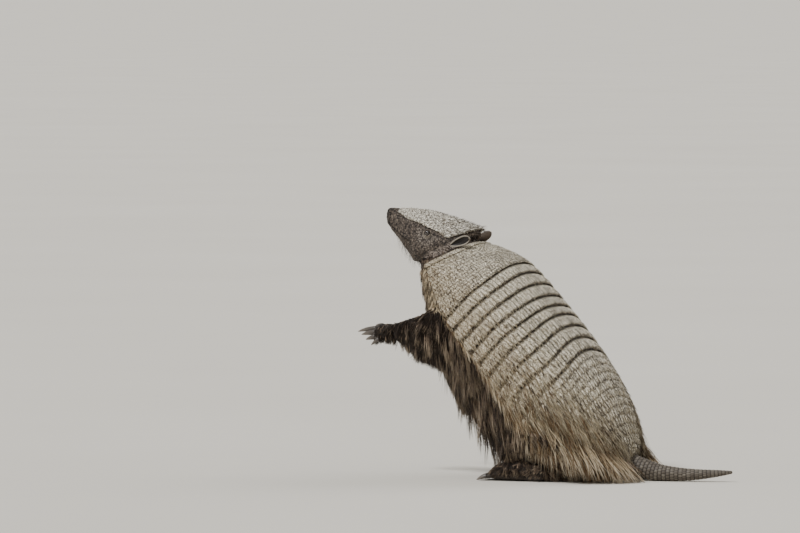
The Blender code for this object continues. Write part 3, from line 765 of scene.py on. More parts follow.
def coatDepth(points):  # mm that the skin lies deep at each point, whether it is bare, its node's number
    coat = skinFacts["coat"]
    nearest = nearestNodes(points)
    depth, bare = np.zeros(len(points)), np.zeros(len(points))
    place, height, across = trunkPlace(points)
    exposed = ramp(np.abs(np.arctan2(across, height)) - marginAngle(place), 0.02, 0.16)
    toWrist = ramp(-points[:, 0], 0.105, 0.158)
    depths = {
        "trunk": coat["trunk"] * exposed,
        "foreleg": coat["shoulder"] + (coat["wrist"] - coat["shoulder"]) * toWrist,
        "neck": coat["neck"], "head": coat["face"], "hindleg": coat["hindleg"],
        "forepaw": coat["foot"], "hindfoot": coat["foot"],
    }
    for k, node in enumerate(fleshNodes):
        part = node.split("_")[0]
        depth = np.where(nearest == k, depths[part], depth)
        bare[nearest == k] = part in ("head", "forepaw", "hindfoot")
    return depth, bare, nearest


def refine(mesh, chosen):  # split the edges whose ends are both chosen
    meshMaker = bmesh.new()
    meshMaker.from_mesh(mesh)
    edges = [edge for edge in meshMaker.edges if all(chosen(vertex.co) for vertex in edge.verts)]
    bmesh.ops.subdivide_edges(meshMaker, edges=edges, cuts=1, use_grid_fill=True, smooth=0.0)
    bmesh.ops.triangulate(meshMaker, faces=[face for face in meshMaker.faces if len(face.verts) > 4])
    meshMaker.to_mesh(mesh)
    meshMaker.free()


face = {
    "mouth": ((1.0, 108), (6, 118), (14, 124), (24, 121), (34, 114), (42, 108)),  # its line's angle, by place
    "mouthDepth": 1.9,
    "mouthWidth": 0.75,
    "lip": 0.5,
    "nostril": (0.4, 52, 2.6),  # place, angle, depth
    "nostrilWidth": 1.7,
    "socket": (1.0, 6.0, 2.2),  # depth, radius and width of the hollow round the eye
    "lid": (0.95, 3.9, 0.75),  # height, radius and width of the lids
    "brow": (0.7, 7.0, 1.6),
    "eyeHole": 3.2,
    "foldRings": (8.2, 10.4, 12.8),  # radii of the folds under and behind the eye
    "pebbles": ((0.0055, 3, 0.22), (0.0026, 8, 0.1)),  # size in metres, seed, height in mm
}


def hump(value, middle, width):  # 1 at the middle, falling away to both sides
    return np.exp(-(((value - middle) / width) ** 2))


def eyeCentre(side):
    place, angle, radius = head["eye"]
    surface, inner = headPoint(place, angle * side), headPoint(place, angle * side, -10.0)
    return surface + unit(inner - surface) * (radius - 1.1) * mm, unit(surface - inner)


def carveFace(points):  # mm to move each point out along its normal
    place, angle = headPlace(points)
    out = np.zeros(len(points))
    onHead = np.linalg.norm(points - headPoint(place, angle), axis=1) < 5 * mm
    onFace = ramp(head["length"] - place, 4, 14) * onHead
    girth = smoothRows(head["sections"], place)[..., 0] * 1.1 + 1
    toMouth = (np.abs(angle) - np.radians(smoothRows(face["mouth"], place)[..., 0])) * girth
    mouthShare = ramp(place, 0.5, 3.0) * ramp(44 - place, 0, 8)
    out -= face["mouthDepth"] * mouthShare * hump(toMouth, 0, face["mouthWidth"])
    out += face["lip"] * mouthShare * (hump(toMouth, -2.0, 1.3) + 0.7 * hump(toMouth, 2.0, 1.2))
    for side in (1, -1):
        at, turn, depth = face["nostril"]
        distance = np.linalg.norm(points - headPoint(at, math.radians(turn) * side), axis=1) / mm
        out -= depth * hump(distance, 0, face["nostrilWidth"])
        out += 0.5 * hump(distance, 3.2, 0.9)
        centre, outward = eyeCentre(side)
        offset = (points - centre) / mm
        axial = offset @ outward
        radial = np.linalg.norm(offset - np.multiply.outer(axial, outward), axis=1)
        raised = offset @ crownward
        carved = -face["socket"][0] * hump(radial, *face["socket"][1:])
        carved += face["lid"][0] * hump(radial, *face["lid"][1:])
        carved -= face["eyeHole"] * (1 - ramp(radial, 2.2, 3.3))
        carved += face["brow"][0] * hump(radial, *face["brow"][1:]) * (raised > 1.5)
        below = ramp(-raised - 0.25 * (offset @ behind), 0, 5)
        for k, ring in enumerate(face["foldRings"]):
            carved -= (0.42 - 0.08 * k) * below * hump(radial, ring, 0.55)
        out += carved * (axial > -6)
    out -= 0.9 * hump(place, 5.0, 0.8) * ramp(np.abs(angle), 0.3, 0.8)  # the crease behind the nose pad
    folds = np.sin(place * 0.9 + 1.6 * np.sin(angle * 5 + place * 0.13)) * ramp(place, 52, 64)
    out += 0.3 * folds * ramp(np.abs(angle), math.radians(78), math.radians(100))
    for size, seed, height in face["pebbles"]:
        out += softNoise(points, size, seed) * height
    return out * onFace


def carveFeet(points):  # creases over the toes' joints and across the paws
    out = np.zeros(len(points))
    for side in (1, -1):
        for kind in ("fore", "hind"):
            for base, heading, length, _, thick in toeRows(kind, side):
                offset = points / mm - base
                along = offset @ heading
                apart = np.linalg.norm(offset - np.multiply.outer(along, heading), axis=1)
                near = np.exp(-((apart / (thick * 1.5)) ** 4)) * (along > -6) * (along < length + 2)
                out -= 0.35 * near * np.clip(np.cos(along * 2 * math.pi / 2.6), 0, 1) ** 2
                out += 0.25 * near * ramp(along, length - 2.2, length - 0.5)
    return out


def makeSkin():
    mesh = joinFlesh()
    points = readPoints(mesh)
    depth, bare, nearest = coatDepth(points)
    mean = neighbourMean(mesh)
    depth = relax(depth, mean, skinFacts["depthRounds"])
    furred = np.clip(1 - relax(bare, mean, 2), 0.12, 1)[:, None] * 0.5
    points = relax(points, mean, skinFacts["relaxRounds"], furred)
    writePoints(mesh, points)
    points = points - readNormals(mesh) * (depth + skinFacts["swell"] * (bare < 0.5))[:, None] * mm
    writePoints(mesh, points)
    regions = KDTree(len(points))
    for k, point in enumerate(points.tolist()):
        regions.insert(point, k)
    regions.balance()
    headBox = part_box("head")
    eyes = [Vector(eyeCentre(side)[0]) for side in (1, -1)]
    nose = Vector(head["nose"])

    def nearEye(point):
        return min((point - eye).length for eye in eyes)

    def onFace(point):
        if not (point.x < headBox[1].x - 0.004 and point.z > headBox[0].z - 0.001):
            return False
        return (point - nose).dot(Vector(crownward)) < 0.014 + 0.16 * (point.x - nose.x)

    def onPaw(point):
        isHeld = point.x < -0.155 and point.z < 0.175
        return isHeld or point.z < 0.022 and -0.05 < point.x < 0.02 and abs(point.y) > 0.04

    refine(mesh, lambda point: onFace(point) or onPaw(point))
    refine(mesh, lambda point: nearEye(point) < 0.0085 or (point - nose).length < 0.012)
    refine(mesh, lambda point: nearEye(point) < 0.0058)
    points = readPoints(mesh)
    out = carveFace(points) + carveFeet(points)
    points = points + readNormals(mesh) * out[:, None] * mm
    points[:, 2] = np.maximum(points[:, 2], 0.0)
    writePoints(mesh, points)
    print("skin:", len(mesh.vertices), "points")
    return mesh, np.array([nearest[regions.find(point)[1]] for point in points.tolist()])


def markSkin(mesh):  # where it is face, paw, bare strip along the armour, lids, folds of the neck or dark
    points = readPoints(mesh)
    x, y, z = points.T
    mean = neighbourMean(mesh)
    place, angle = headPlace(points)
    isHead = (np.linalg.norm(points - headPoint(place, angle), axis=1) < 6 * mm).astype(float)
    isHead = relax(isHead * (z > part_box("head")[0].z - 0.002), mean, 3)
    isPaw = ((x < -0.150) & (z < 0.175)) | ((z < 0.024) & (np.abs(y) > 0.04) & (x < 0.024))
    isPaw = relax(isPaw.astype(float), mean, 3)
    isNeck = relax((skinRegions == fleshNodes.index("neck")).astype(float), mean, 2)
    onTrunk, height, across = trunkPlace(points)
    beyond = np.abs(np.arctan2(across, height)) - marginAngle(onTrunk)
    strip = hump(beyond, 0.06, 0.09) * ramp(onTrunk, -128, -112) * ramp(60 - onTrunk, 0, 40)
    at, turn, _ = face["nostril"]
    toEye, toNostril = (
        np.minimum(*[np.linalg.norm(points - spot, axis=1) for spot in spots]) / mm
        for spots in (
            [eyeCentre(side)[0] for side in (1, -1)],
            [headPoint(at, math.radians(turn) * side) for side in (1, -1)],
        )
    )
    lowered = ramp(-(points - eyeCentre(1)[0]) @ crownward / mm, -3.5, 2.5)
    toMouth = np.abs(angle) - np.radians(smoothRows(face["mouth"], place)[..., 0])
    toMouth = toMouth * (smoothRows(head["sections"], place)[..., 0] + 1)
    mouth = hump(toMouth, 0, 0.8) * ramp(44 - place, 0, 8)
    # painted shade, near-black, in the carved nostrils and the mouth's groove, with a darker nose tip and a
    # dark ring round each eye
    dark = 1.2 * hump(toNostril, 0, 2.0)
    dark = dark + (0.8 * mouth + 0.45 * ramp(8 - place, 0, 5) + 0.55 * hump(toEye, 7.4, 1.0)) * isHead
    # painted shade in stripes of creases across the neck
    crease = np.clip(np.sin(place * 1.5 + 1.2 * np.sin(angle * 4)), 0, 1) ** 3
    marks = {
        "face": isHead,
        "paw": isPaw * (1 - isHead),
        "strip": strip * (1 - isHead) * (1 - isPaw),
        "cheek": hump(toEye, 9, 6.0) * (np.abs(angle) > math.radians(72)) * isHead,
        "dark": np.clip(np.clip(dark, 0, 1) + 0.75 * isNeck * crease, 0, 1),
        "lids": (0.15 + 0.45 * lowered) * hump(toEye, 5.3, 1.1) * isHead,
        "folds": isNeck * (np.abs(angle) < math.radians(125)),
    }
    for mark, values in marks.items():
        writeAttribute(mesh, mark, values)


def makeHide():
    # Bare leathery skin, pebbled on the face and creased on the paws: matt, with painted shade in its
    # furrows, nostrils, mouth and neck creases
    material, tree, shader = newMaterial("pebbledHide", 0.6, 0.35)
    place = addNode(tree, "ShaderNodeTexCoord").outputs["Object"]
    onFace, onPaw, strip, cheek, dark, lids, folds = (
        addNode(tree, "ShaderNodeAttribute", attribute_name=key).outputs["Fac"]
        for key in ("face", "paw", "strip", "cheek", "dark", "lids", "folds")
    )
    noise = {"Vector": place, "Scale": 160.0, "Detail": 4.0, "Roughness": 0.65}  # 6 mm patches
    mottle = addNode(tree, "ShaderNodeTexNoise", noise)
    fine = addNode(tree, "ShaderNodeTexNoise", {**noise, "Scale": 430.0})
    scales = {"Vector": place, "Scale": 420.0, "Randomness": 0.9}  # 2.4 mm pores
    pores = addNode(tree, "ShaderNodeTexVoronoi", scales, feature="F1")
    pebbles = addNode(tree, "ShaderNodeTexVoronoi", {**scales, "Scale": 330.0}, feature="DISTANCE_TO_EDGE")
    blotch, raised, furrow = (
        addNode(tree, "ShaderNodeMapRange", inputs, clamp=True)
        for inputs in (
            {0: fine, 1: 0.4, 2: 0.62},
            {0: pebbles, 1: 0.02, 2: 0.16},
            {0: pebbles, 1: 0.0, 2: 0.11, 3: 0.85, 4: 0.0},
        )
    )
    # painted shade in the furrows between the face's pebbles
    palePart, pebbleFurrowShade = (
        addNode(tree, "ShaderNodeMath", {0: first, 1: second}, operation="MULTIPLY")
        for first, second in ((cheek, raised), (onFace, furrow))
    )
    furredSkin, stripSkin, pawSkin, faceSkin, cheekSkin = (
        addNode(tree, "ShaderNodeMix", {0: source, 6: darker, 7: lighter}, data_type="RGBA")
        for source, darker, lighter in (
            (mottle, "2B2019", "4A3A2D"), (mottle, "8A5637", "D29A72"), (fine, "231E1B", "5A524B"),
            (blotch, "1F1916", "74685D"), (blotch, "463D37", "9A9085"),
        )
    )
    tone = furredSkin
    # dark lays painted shade in the nostrils, the mouth's groove and the neck's creases
    for share, top in (
        (strip, stripSkin), (onPaw, pawSkin), (onFace, faceSkin), (palePart, cheekSkin), (pebbleFurrowShade, "1E1815"),
        (folds, "978A80"), (dark, "15110E"), (lids, "92887C"),
    ):
        tone = addNode(tree, "ShaderNodeMix", {0: share, 6: tone, 7: top}, data_type="RGBA")
    relief = addNode(tree, "ShaderNodeMath", {0: raised, 1: pores.outputs["Distance"]}, operation="ADD")
    grain = addNode(tree, "ShaderNodeBump", {"Height": relief, "Strength": 0.9, "Distance": 0.0006})
    setInputs(tree, shader, {"Base Color": tone, "Normal": grain})
    return material


skinMesh, skinRegions = makeSkin()
markSkin(skinMesh)
newPiece("skin", skinMesh, makeHide(), fleshNodes)
print("skin made")


# Eyes

eyeball = {"columns": 32, "rings": 20, "fit": 0.98, "bulge": 0.06}


def makeWetEye():
    # A dark eye under a wet cornea: almost black, with one sharp highlight
    material, tree, shader = newMaterial("wetDarkEye", 0.06, 0.6)
    place = addNode(tree, "ShaderNodeTexCoord").outputs["Object"]
    fibres = addNode(tree, "ShaderNodeTexNoise", {"Vector": place, "Scale": 900.0, "Detail": 2.0})
    tone = addNode(tree, "ShaderNodeMix", {0: fibres, 6: "0B0908", 7: "2A1C12"}, data_type="RGBA")
    setInputs(tree, shader, {"Base Color": tone, "Coat Weight": 1.0, "Coat Roughness": 0.03})
    return material


def makeEyes():
    wet = makeWetEye()
    for side, label in ((1, "left"), (-1, "right")):
        centre, outward = eyeCentre(side)
        meshMaker = bmesh.new()
        radius = head["eye"][2] * mm * eyeball["fit"]
        columns, rings = eyeball["columns"], eyeball["rings"]
        bmesh.ops.create_uvsphere(meshMaker, u_segments=columns, v_segments=rings, radius=radius)
        for vertex in meshMaker.verts:  # the cornea bulges a little
            facing = vertex.co.normalized().dot(Vector(outward))
            vertex.co *= 1 + eyeball["bulge"] * float(ramp(facing, 0.55, 0.95))
        bmesh.ops.translate(meshMaker, verts=meshMaker.verts, vec=Vector(centre))
        mesh = bpy.data.meshes.new("eye")
        meshMaker.to_mesh(mesh)
        meshMaker.free()
        newPiece(f"eyeball_{label}", mesh, wet, [f"eye_{label}"])


makeEyes()


# Ears: a thin cup with a rolled pale rim

ear = {
    "root": {1: (94, 33.5, 2.2), -1: (88, 35.0, -1.5)},  # behind the nose, across, above the axis
    "tip": {1: (113.5, 34.0, 17.2), -1: (104.5, 32.5, 18.0)},
    "width": 10.0,
    "sections": (
        (0.0, 0.3, 0.9), (0.12, 0.52, 0.9), (0.3, 0.84, 0.8), (0.55, 1.0, 0.65), (0.8, 0.84, 0.45),
        (0.93, 0.52, 0.3), (1.0, 0.12, 0.15),
    ),
    "wall": 1.1,
    "rim": 0.5,
    "roll": 0.09,  # the share of its width that the rolled rim takes up
    "wrap": 1.08,  # how far round it cups, in half turns
    "columns": 36,
    "lines": 40,
}


def makeEarSkin():
    # Thin skin: smooth and painted dark with shade inside the cup, pebbled outside, with a paler worn rim
    material, tree, shader = newMaterial("thinEarSkin", 0.55, 0.35)
    place = addNode(tree, "ShaderNodeTexCoord").outputs["Object"]
    rim = addNode(tree, "ShaderNodeAttribute", attribute_name="rim").outputs["Fac"]
    earCupShade = addNode(tree, "ShaderNodeAttribute", attribute_name="earCupShade").outputs["Fac"]
    # 4 mm patches and 2 mm pebbles
    mottle = addNode(tree, "ShaderNodeTexNoise", {"Vector": place, "Scale": 260.0, "Detail": 3.0})
    scales = {"Vector": place, "Scale": 520.0}
    pebbles = addNode(tree, "ShaderNodeTexVoronoi", scales, feature="DISTANCE_TO_EDGE")
    tone = addNode(tree, "ShaderNodeMix", {0: mottle, 6: "3E352D", 7: "6A5D50"}, data_type="RGBA")
    # the cup's inner side is painted near-black as shade
    for share, top in ((earCupShade, "1C1815"), (rim, "968F83")):
        tone = addNode(tree, "ShaderNodeMix", {0: share, 6: tone, 7: top}, data_type="RGBA")
    grain = addNode(tree, "ShaderNodeBump", {"Height": pebbles, "Strength": 0.5, "Distance": 0.0003})
    setInputs(tree, shader, {"Base Color": tone, "Normal": grain})
    return material


def makeEars():
    thinSkin = makeEarSkin()
    for side, label in ((1, "left"), (-1, "right")):
        root, tip = (
            head["nose"] + (behind * b + crownward * up + left * across * side) * mm
            for b, across, up in (ear["root"][side], ear["tip"][side])
        )
        lengthwise = unit(tip - root)
        facing = left * side * 0.95 - behind * 0.2
        facing = unit(facing - lengthwise * (facing @ lengthwise))
        widthwise = np.cross(lengthwise, facing)
        mesh, shares = bentGrid(ear["columns"], ear["lines"])
        width, depth = np.moveaxis(smoothRows(ear["sections"], shares[:, 1]), -1, 0)
        half = ear["width"] / 2 * width
        turn = math.pi / 2 * ear["wrap"] * (2 * shares[:, 0] - 1)
        fold = 1 + 0.05 * np.sin(shares[:, 1] * 9 + side)
        offset = np.multiply.outer(np.sin(turn) * half * fold, widthwise)
        offset = offset - np.multiply.outer(np.cos(turn) * half * depth, facing)
        points = root + np.multiply.outer(shares[:, 1], tip - root) + offset * mm
        edge = np.minimum.reduce((shares[:, 0], 1 - shares[:, 0], (1 - shares[:, 1]) * 1.3))
        writePoints(mesh, points)
        writeAttribute(mesh, "rim", 0.9 - 0.9 * ramp(edge, 0.005, 0.026))
        writeAttribute(mesh, "edge", edge)
        piece = newPiece(f"ear_shell_{label}", mesh, thinSkin, [f"ear_{label}"])
        thickenEar(piece, facing)
    print("eyes and ears made")


def thickenEar(piece, facing):  # the wall's inner side faces the cup's opening, and the rim rolls thicker
    mesh = piece.data
    normals = readNormals(mesh)
    if np.mean(normals @ facing) > 0:
        mesh.flip_normals()
    meshMaker = bmesh.new()
    meshMaker.from_mesh(mesh)
    meshMaker.normal_update()
    bmesh.ops.solidify(meshMaker, geom=meshMaker.faces[:], thickness=ear["wall"] * mm)
    meshMaker.to_mesh(mesh)
    meshMaker.free()
    mesh.update()
    normals = readNormals(mesh)
    edges = np.empty(len(mesh.vertices))
    mesh.attributes["edge"].data.foreach_get("value", edges)
    roll = 1 - ramp(edges, 0.0, ear["roll"])
    writePoints(mesh, readPoints(mesh) + normals * (ear["rim"] * 0.5 * roll)[:, None] * mm)
    # the cup's inner side, facing its opening, is marked for painted shade
    writeAttribute(mesh, "earCupShade", ramp(normals @ facing, 0.1, 0.4) * ramp(edges, 0.04, 0.1))


makeEars()


# Claws: curved horn, round above and flatter below

claw = {
    "bend": 0.2, "facets": 14, "rings": 12, "root": 1.2, "ridge": 0.05, "wide": 0.85, "high": 0.98,
    "flatUnder": 0.62, "sunk": 1.6, "longer": 2.2,  # mm that it starts within the toe, and is longer for it
}


def makeClawHorn():
    # Worn keratin: satin, darker at the root and grey at the scraped tip, with fine lines along it
    material, tree, shader = newMaterial("wornClawHorn", 0.42, 0.5)
    place = addNode(tree, "ShaderNodeUVMap", uv_map="claw")
    along = addNode(tree, "ShaderNodeAttribute", attribute_name="along").outputs["Fac"]
    stretched = addNode(tree, "ShaderNodeMapping", {"Vector": place, "Scale": (26.0, 2.0, 1.0)})
    lines = addNode(tree, "ShaderNodeTexNoise", {"Vector": stretched, "Scale": 1.0, "Detail": 3.0})
    horn = addNode(tree, "ShaderNodeMix", {0: along, 6: "2C2724", 7: "8F867B"}, data_type="RGBA")
    tone = addNode(tree, "ShaderNodeMix", {0: lines, 6: horn, 7: "57504A"}, data_type="RGBA")
    grain = addNode(tree, "ShaderNodeBump", {"Height": lines, "Strength": 0.4, "Distance": 0.0002})
    setInputs(tree, shader, {"Base Color": tone, "Normal": grain})
    return material


def makeClaws():
    horn = makeClawHorn()
    for side, label in ((1, "left"), (-1, "right")):
        for kind in ("fore", "hind"):
            for number, (base, heading, length, clawLength, thick) in enumerate(toeRows(kind, side), 1):
                start = base + heading * (length - claw["sunk"])
                palm = pawWays(kind, side)[1]
                sideways = unit(np.cross(heading, -palm))
                mesh, shares = bentGrid(claw["facets"], claw["rings"])
                turn, along = 2 * math.pi * shares[:, 0], shares[:, 1]
                bent = unit(heading + palm * claw["bend"] * along[:, None])
                centre = start + bent * (clawLength + claw["longer"]) * along[:, None]
                taper = thick * (np.clip(1 - along**1.5, 0, 1) ** 0.75 * claw["root"] + 0.02)
                flat = np.where(np.sin(turn) < 0, claw["flatUnder"], 1.0)
                ridge = 1 + claw["ridge"] * np.cos(turn * 4)
                wide = sideways * (claw["wide"] * taper * np.cos(turn) * ridge)[:, None]
                high = np.cross(sideways, bent) * (claw["high"] * taper * np.sin(turn) * flat)[:, None]
                points = (centre + wide + high) * mm
                points[:, 2] = np.maximum(points[:, 2], 0.0001)
                writePoints(mesh, points)
                writeAttribute(mesh, "along", along**1.3)
                writeMap(mesh, "claw", shares)
                closeUp(mesh, 1e-5)
                replaced = [f"claw_{kind}_{label}_{number}"]
                newPiece(f"claw_{kind}_{label}_horn_{number}", mesh, horn, replaced)
    print("claws made")


makeClaws()


# Tail: rings of small overlapping scutes round a tapering core

tail = {"rings": 34, "around": 15, "columns": 105, "lines": 170, "lift": 0.75, "seam": 0.5}


def makeTailHorn():
    # Small grey scutes over dark skin: matt, dirty in the joints
    material, tree, shader = newMaterial("greyTailScutes", 0.6, 0.35)
    place = addNode(tree, "ShaderNodeTexCoord").outputs["Object"]
    seam = addNode(tree, "ShaderNodeAttribute", attribute_name="seam").outputs["Fac"]
    tint = addNode(tree, "ShaderNodeAttribute", attribute_name="tint").outputs["Fac"]
    # 3 mm patches
    mottle = addNode(tree, "ShaderNodeTexNoise", {"Vector": place, "Scale": 300.0, "Detail": 3.0})
    base = addNode(tree, "ShaderNodeMix", {0: tint, 6: "5C544B", 7: "8D867A"}, data_type="RGBA")
    tone = addNode(tree, "ShaderNodeMix", {0: mottle, 6: "4A4239", 7: base}, data_type="RGBA")
    tone = addNode(tree, "ShaderNodeMix", {0: seam, 6: tone, 7: "28211C"}, data_type="RGBA")
    grain = addNode(tree, "ShaderNodeBump", {"Height": mottle, "Strength": 0.5, "Distance": 0.0003})
    setInputs(tree, shader, {"Base Color": tone, "Normal": grain})
    return material


def makeTail():
    mesh, shares = bentGrid(tail["columns"], tail["lines"])
    ring = shares[:, 1] * tail["rings"]
    row = np.floor(ring)
    column = shares[:, 0] * tail["around"] + 0.5 * np.mod(row, 2)
    inRing, inColumn = ring - row, column - np.floor(column)
    thickness = 1 - 0.75 * shares[:, 1]
    toSide = np.minimum(inColumn, 1 - inColumn)
    rounded = 1 - ramp(inRing - 0.25 * (2 * toSide), 0.72, 0.95)
    joint = ramp(toSide, 0.0, 0.16) * rounded * ramp(inRing, 0.0, 0.1)
    ends = ramp(1 - shares[:, 1], 0.0, 0.02)
    out = thickness * (tail["lift"] * inRing * joint - tail["seam"] * (1 - joint)) * ends
    cap = np.sqrt(np.clip(1 - ramp(shares[:, 1], 0.985, 1.0) ** 2, 0, 1))
    rows = [(k, *point, w, h) for k, (point, w, h) in enumerate(tailPath)]
    width, height = (smoothRows(rows, shares[:, 1] * (len(rows) - 1))[..., k] for k in (3, 4))
    shrunk = -0.35 - np.minimum(width, height) * (1 - cap) * 0.98
    points = tubePoint(tailPath, shares[:, 1] * (len(tailPath) - 1), 2 * math.pi * shares[:, 0], out + shrunk)
    points[:, 2] = np.maximum(points[:, 2], 0.0)
    writePoints(mesh, points)
    writeAttribute(mesh, "seam", np.clip(1 - joint, 0, 1))
    writeAttribute(mesh, "tint", cellNoise(np.mod(np.floor(column), tail["around"]), row, 4))
    closeUp(mesh, 2e-6)
    newPiece("tail_scutes", mesh, makeTailHorn(), ["tail"])
    print("tail made")


makeTail()


# Coat: each tuft is a thin tapering lock of solid mesh, and tufts lean together into pointed locks

tuft = {
    "short": (0.0, 0.5),  # where the rings of corners lie along a tuft, for its two cuts
    "long": (0.0, 0.4, 0.75),
    "corners": 3,
    "flatness": 0.5,
    "meet": 9,  # mm within which a tuft leans to the leader of its lock
    "floor": 0.3,  # mm that hair stays above the floor
    "bakePatch": 0.003,
    # how its own random numbers vary a tuft: from the first, up to the second or by the second
    "rise": (0.35, 1.9),
    "lift": (0.7, 1.3),
    "pull": (0.5, 1.1),
    "sway": (0.3, 1.0),
    "thick": (0.7, 0.6),
    "turnAside": 0.6,
    "bendAside": 0.3,
    "twist": 0.7,
    "taper": (0.6, 1.5),  # how much thinner it gets, and how late
    "wave": 0.03,  # unless its own facts say so
    "dull": 0.4,
}


def findLeaders(roots, perLock):  # the tuft that leads each tuft's lock, and whether it is near enough
    count = max(1, len(roots) // perLock)
    tree = KDTree(count)
    for k in range(count):
        tree.insert(roots[k].tolist(), k)
    tree.balance()
    found = [tree.find(root) for root in roots.tolist()]
    near = np.array([distance for _, _, distance in found]) < tuft["meet"] * mm
    return np.array([number for _, number, _ in found]), near


def growTufts(name, roots, normals, lie, facts, bakePlaces, material, scale=1.0):
    count = len(roots)
    random = np.random.default_rng(facts["seed"])
    length = facts["length"] * mm * scale * (1 + facts["uneven"] * random.uniform(-1, 1, count))
    lie = unit(lie - normals * np.sum(lie * normals, axis=1, keepdims=True))
    side = np.cross(lie, normals)
    leader, near = findLeaders(roots, facts["perLock"])
    rise, shade = random.random(count)[leader], random.random(count)[leader]
    turnAside = random.normal(size=count)[leader]
    flat, steep = tuft["rise"]
    lift = facts["lift"] * (flat + steep * rise**2) * random.uniform(*tuft["lift"], count)
    stray = facts["stray"] * (tuft["turnAside"] * random.normal(size=count) + turnAside)
    start = unit(lie + normals * lift[:, None] + side * stray[:, None]) * length[:, None]
    bend = np.array([0, 0, -facts["droop"]]) - normals * (lift * facts["settle"])[:, None]
    aside = tuft["bendAside"] * facts["stray"] * random.normal(size=count)
    bend = (bend + side * aside[:, None]) * length[:, None]
    tips = roots + start + bend
    pull = (tips[leader] - tips) * (near * facts["lock"] * random.uniform(*tuft["pull"], count))[:, None]
    wave = facts.get("wave", tuft["wave"]) * random.uniform(*tuft["sway"], count)
    wave = side * (wave * length)[:, None]
    phase = random.uniform(0, 2 * math.pi, count)
    twist = random.uniform(-tuft["twist"], tuft["twist"], count)
    thin, thicker = tuft["thick"]
    thick = facts["width"] * mm * (thin + thicker * random.random(count)) / 2
    wide = side * np.cos(twist)[:, None] + normals * np.sin(twist)[:, None]
    high = unit(np.cross(start, wide))
    rings = []
    shares = (*tuft[facts.get("cut", "short")], 1.0)
    taper, late = tuft["taper"]
    for share in shares:
        sway = wave * (np.sin(share * 5 + phase) * share)[:, None]
        centre = roots + start * share + bend * share**2 + pull * share**1.6 + sway
        size = thick * (1 - taper * share**late) * (share < 1)
        corners = []
        for k in range(tuft["corners"] if share < 1 else 1):
            turn = 2 * math.pi * k / tuft["corners"] + math.pi / 2
            across, up = size * math.cos(turn), size * tuft["flatness"] * math.sin(turn)
            corners.append(centre + wide * across[:, None] + high * up[:, None])
        rings.append(np.stack(corners, axis=1))
    points = np.concatenate(rings, axis=1)
    points[..., 2] = np.maximum(points[..., 2], tuft["floor"] * mm)
    tint = ramp(0.7 * shade + 0.3 * random.random(count), facts.get("dull", tuft["dull"]), 0.95)
    makeTuftMesh(name, points, shares, tint, bakePlaces, material)


def tuftFaces(points):  # the triangles of one tuft: rings of corners that close in a tip
    corners, rings = tuft["corners"], len(points) // tuft["corners"]
    faces = [(2, 1, 0)]
    for ring in range(rings):
        for k in range(corners):
            a, b = ring * corners + k, ring * corners + (k + 1) % corners
            if ring == rings - 1:
                faces.append((a, b, rings * corners))
            else:
                faces += [(a, b, b + corners), (a, b + corners, a + corners)]
    faces = np.array(faces)
    a, b, c = points[faces[:, 0]], points[faces[:, 1]], points[faces[:, 2]]
    outward = np.sum(np.cross(b - a, c - a) * ((a + b + c) / 3 - points.mean(axis=0)))
    return faces if outward > 0 else faces[:, ::-1]


def makeTuftMesh(name, points, shares, tint, bakePlaces, material):
    count, perTuft = points.shape[:2]
    faces = tuftFaces(points[0])[None] + (np.arange(count) * perTuft)[:, None, None]
    mesh = bpy.data.meshes.new(name)
    mesh.vertices.add(count * perTuft)
    mesh.loops.add(faces.size)
    mesh.polygons.add(faces.size // 3)
    mesh.vertices.foreach_set("co", points.astype(np.float32).ravel())
    mesh.loops.foreach_set("vertex_index", faces.astype(np.int32).ravel())
    mesh.polygons.foreach_set("loop_start", np.arange(0, faces.size, 3, dtype=np.int32))
    mesh.update(calc_edges=True)
    corner = np.arange(perTuft)
    along = np.array([*np.repeat(shares[:-1], tuft["corners"]), 1.0])
    across = np.where(corner < perTuft - 1, corner % tuft["corners"] / 2, 0.5)
    patch = np.stack((across - 0.5, along - 0.5), axis=1) * tuft["bakePatch"]
    writeMap(mesh, "OFBake", (np.clip(bakePlaces, 0.01, 0.99)[:, None, :] + patch).reshape(-1, 2))
    writeAttribute(mesh, "along", np.tile(along, count))
    writeAttribute(mesh, "tint", np.repeat(tint, perTuft))
    newPiece(name, mesh, material)


def makeHair(name, rootColour, bodyColour, paler, tipColour):
    # Coarse guard hair: dark at the root and worn pale at the tip, some locks paler than others
    material, tree, shader = newMaterial(name, 0.5, 0.3)
    along = addNode(tree, "ShaderNodeAttribute", attribute_name="along").outputs["Fac"]
    tint = addNode(tree, "ShaderNodeAttribute", attribute_name="tint").outputs["Fac"]
    low = addNode(tree, "ShaderNodeMapRange", {0: along, 1: 0.0, 2: 0.45}, clamp=True)
    high = addNode(tree, "ShaderNodeMapRange", {0: along, 1: 0.45, 2: 1.0}, clamp=True)
    worn = addNode(tree, "ShaderNodeMath", {0: high, 1: tint}, operation="MULTIPLY")
    tone = addNode(tree, "ShaderNodeMix", {0: tint, 6: bodyColour, 7: paler}, data_type="RGBA")
    tone = addNode(tree, "ShaderNodeMix", {0: low, 6: rootColour, 7: tone}, data_type="RGBA")
    tone = addNode(tree, "ShaderNodeMix", {0: worn, 6: tone, 7: tipColour}, data_type="RGBA")
    setInputs(tree, shader, {"Base Color": tone})
    return material


darkHair = makeHair("darkGuardHair", "120D0A", "2B211A", "8F7A66", "CDBCA5")
goldHair = makeHair("goldenGuardHair", "241A13", "7A6143", "E6D2AE", "FBF3E2")
paleHair = makeHair("paleArmourHair", "8A7D68", "B8AA8E", "E4D9C0", "EFE6D2")
backHair = makeHair("darkBackBristle", "1F1813", "352A22", "6E5F4E", "7D6C58")


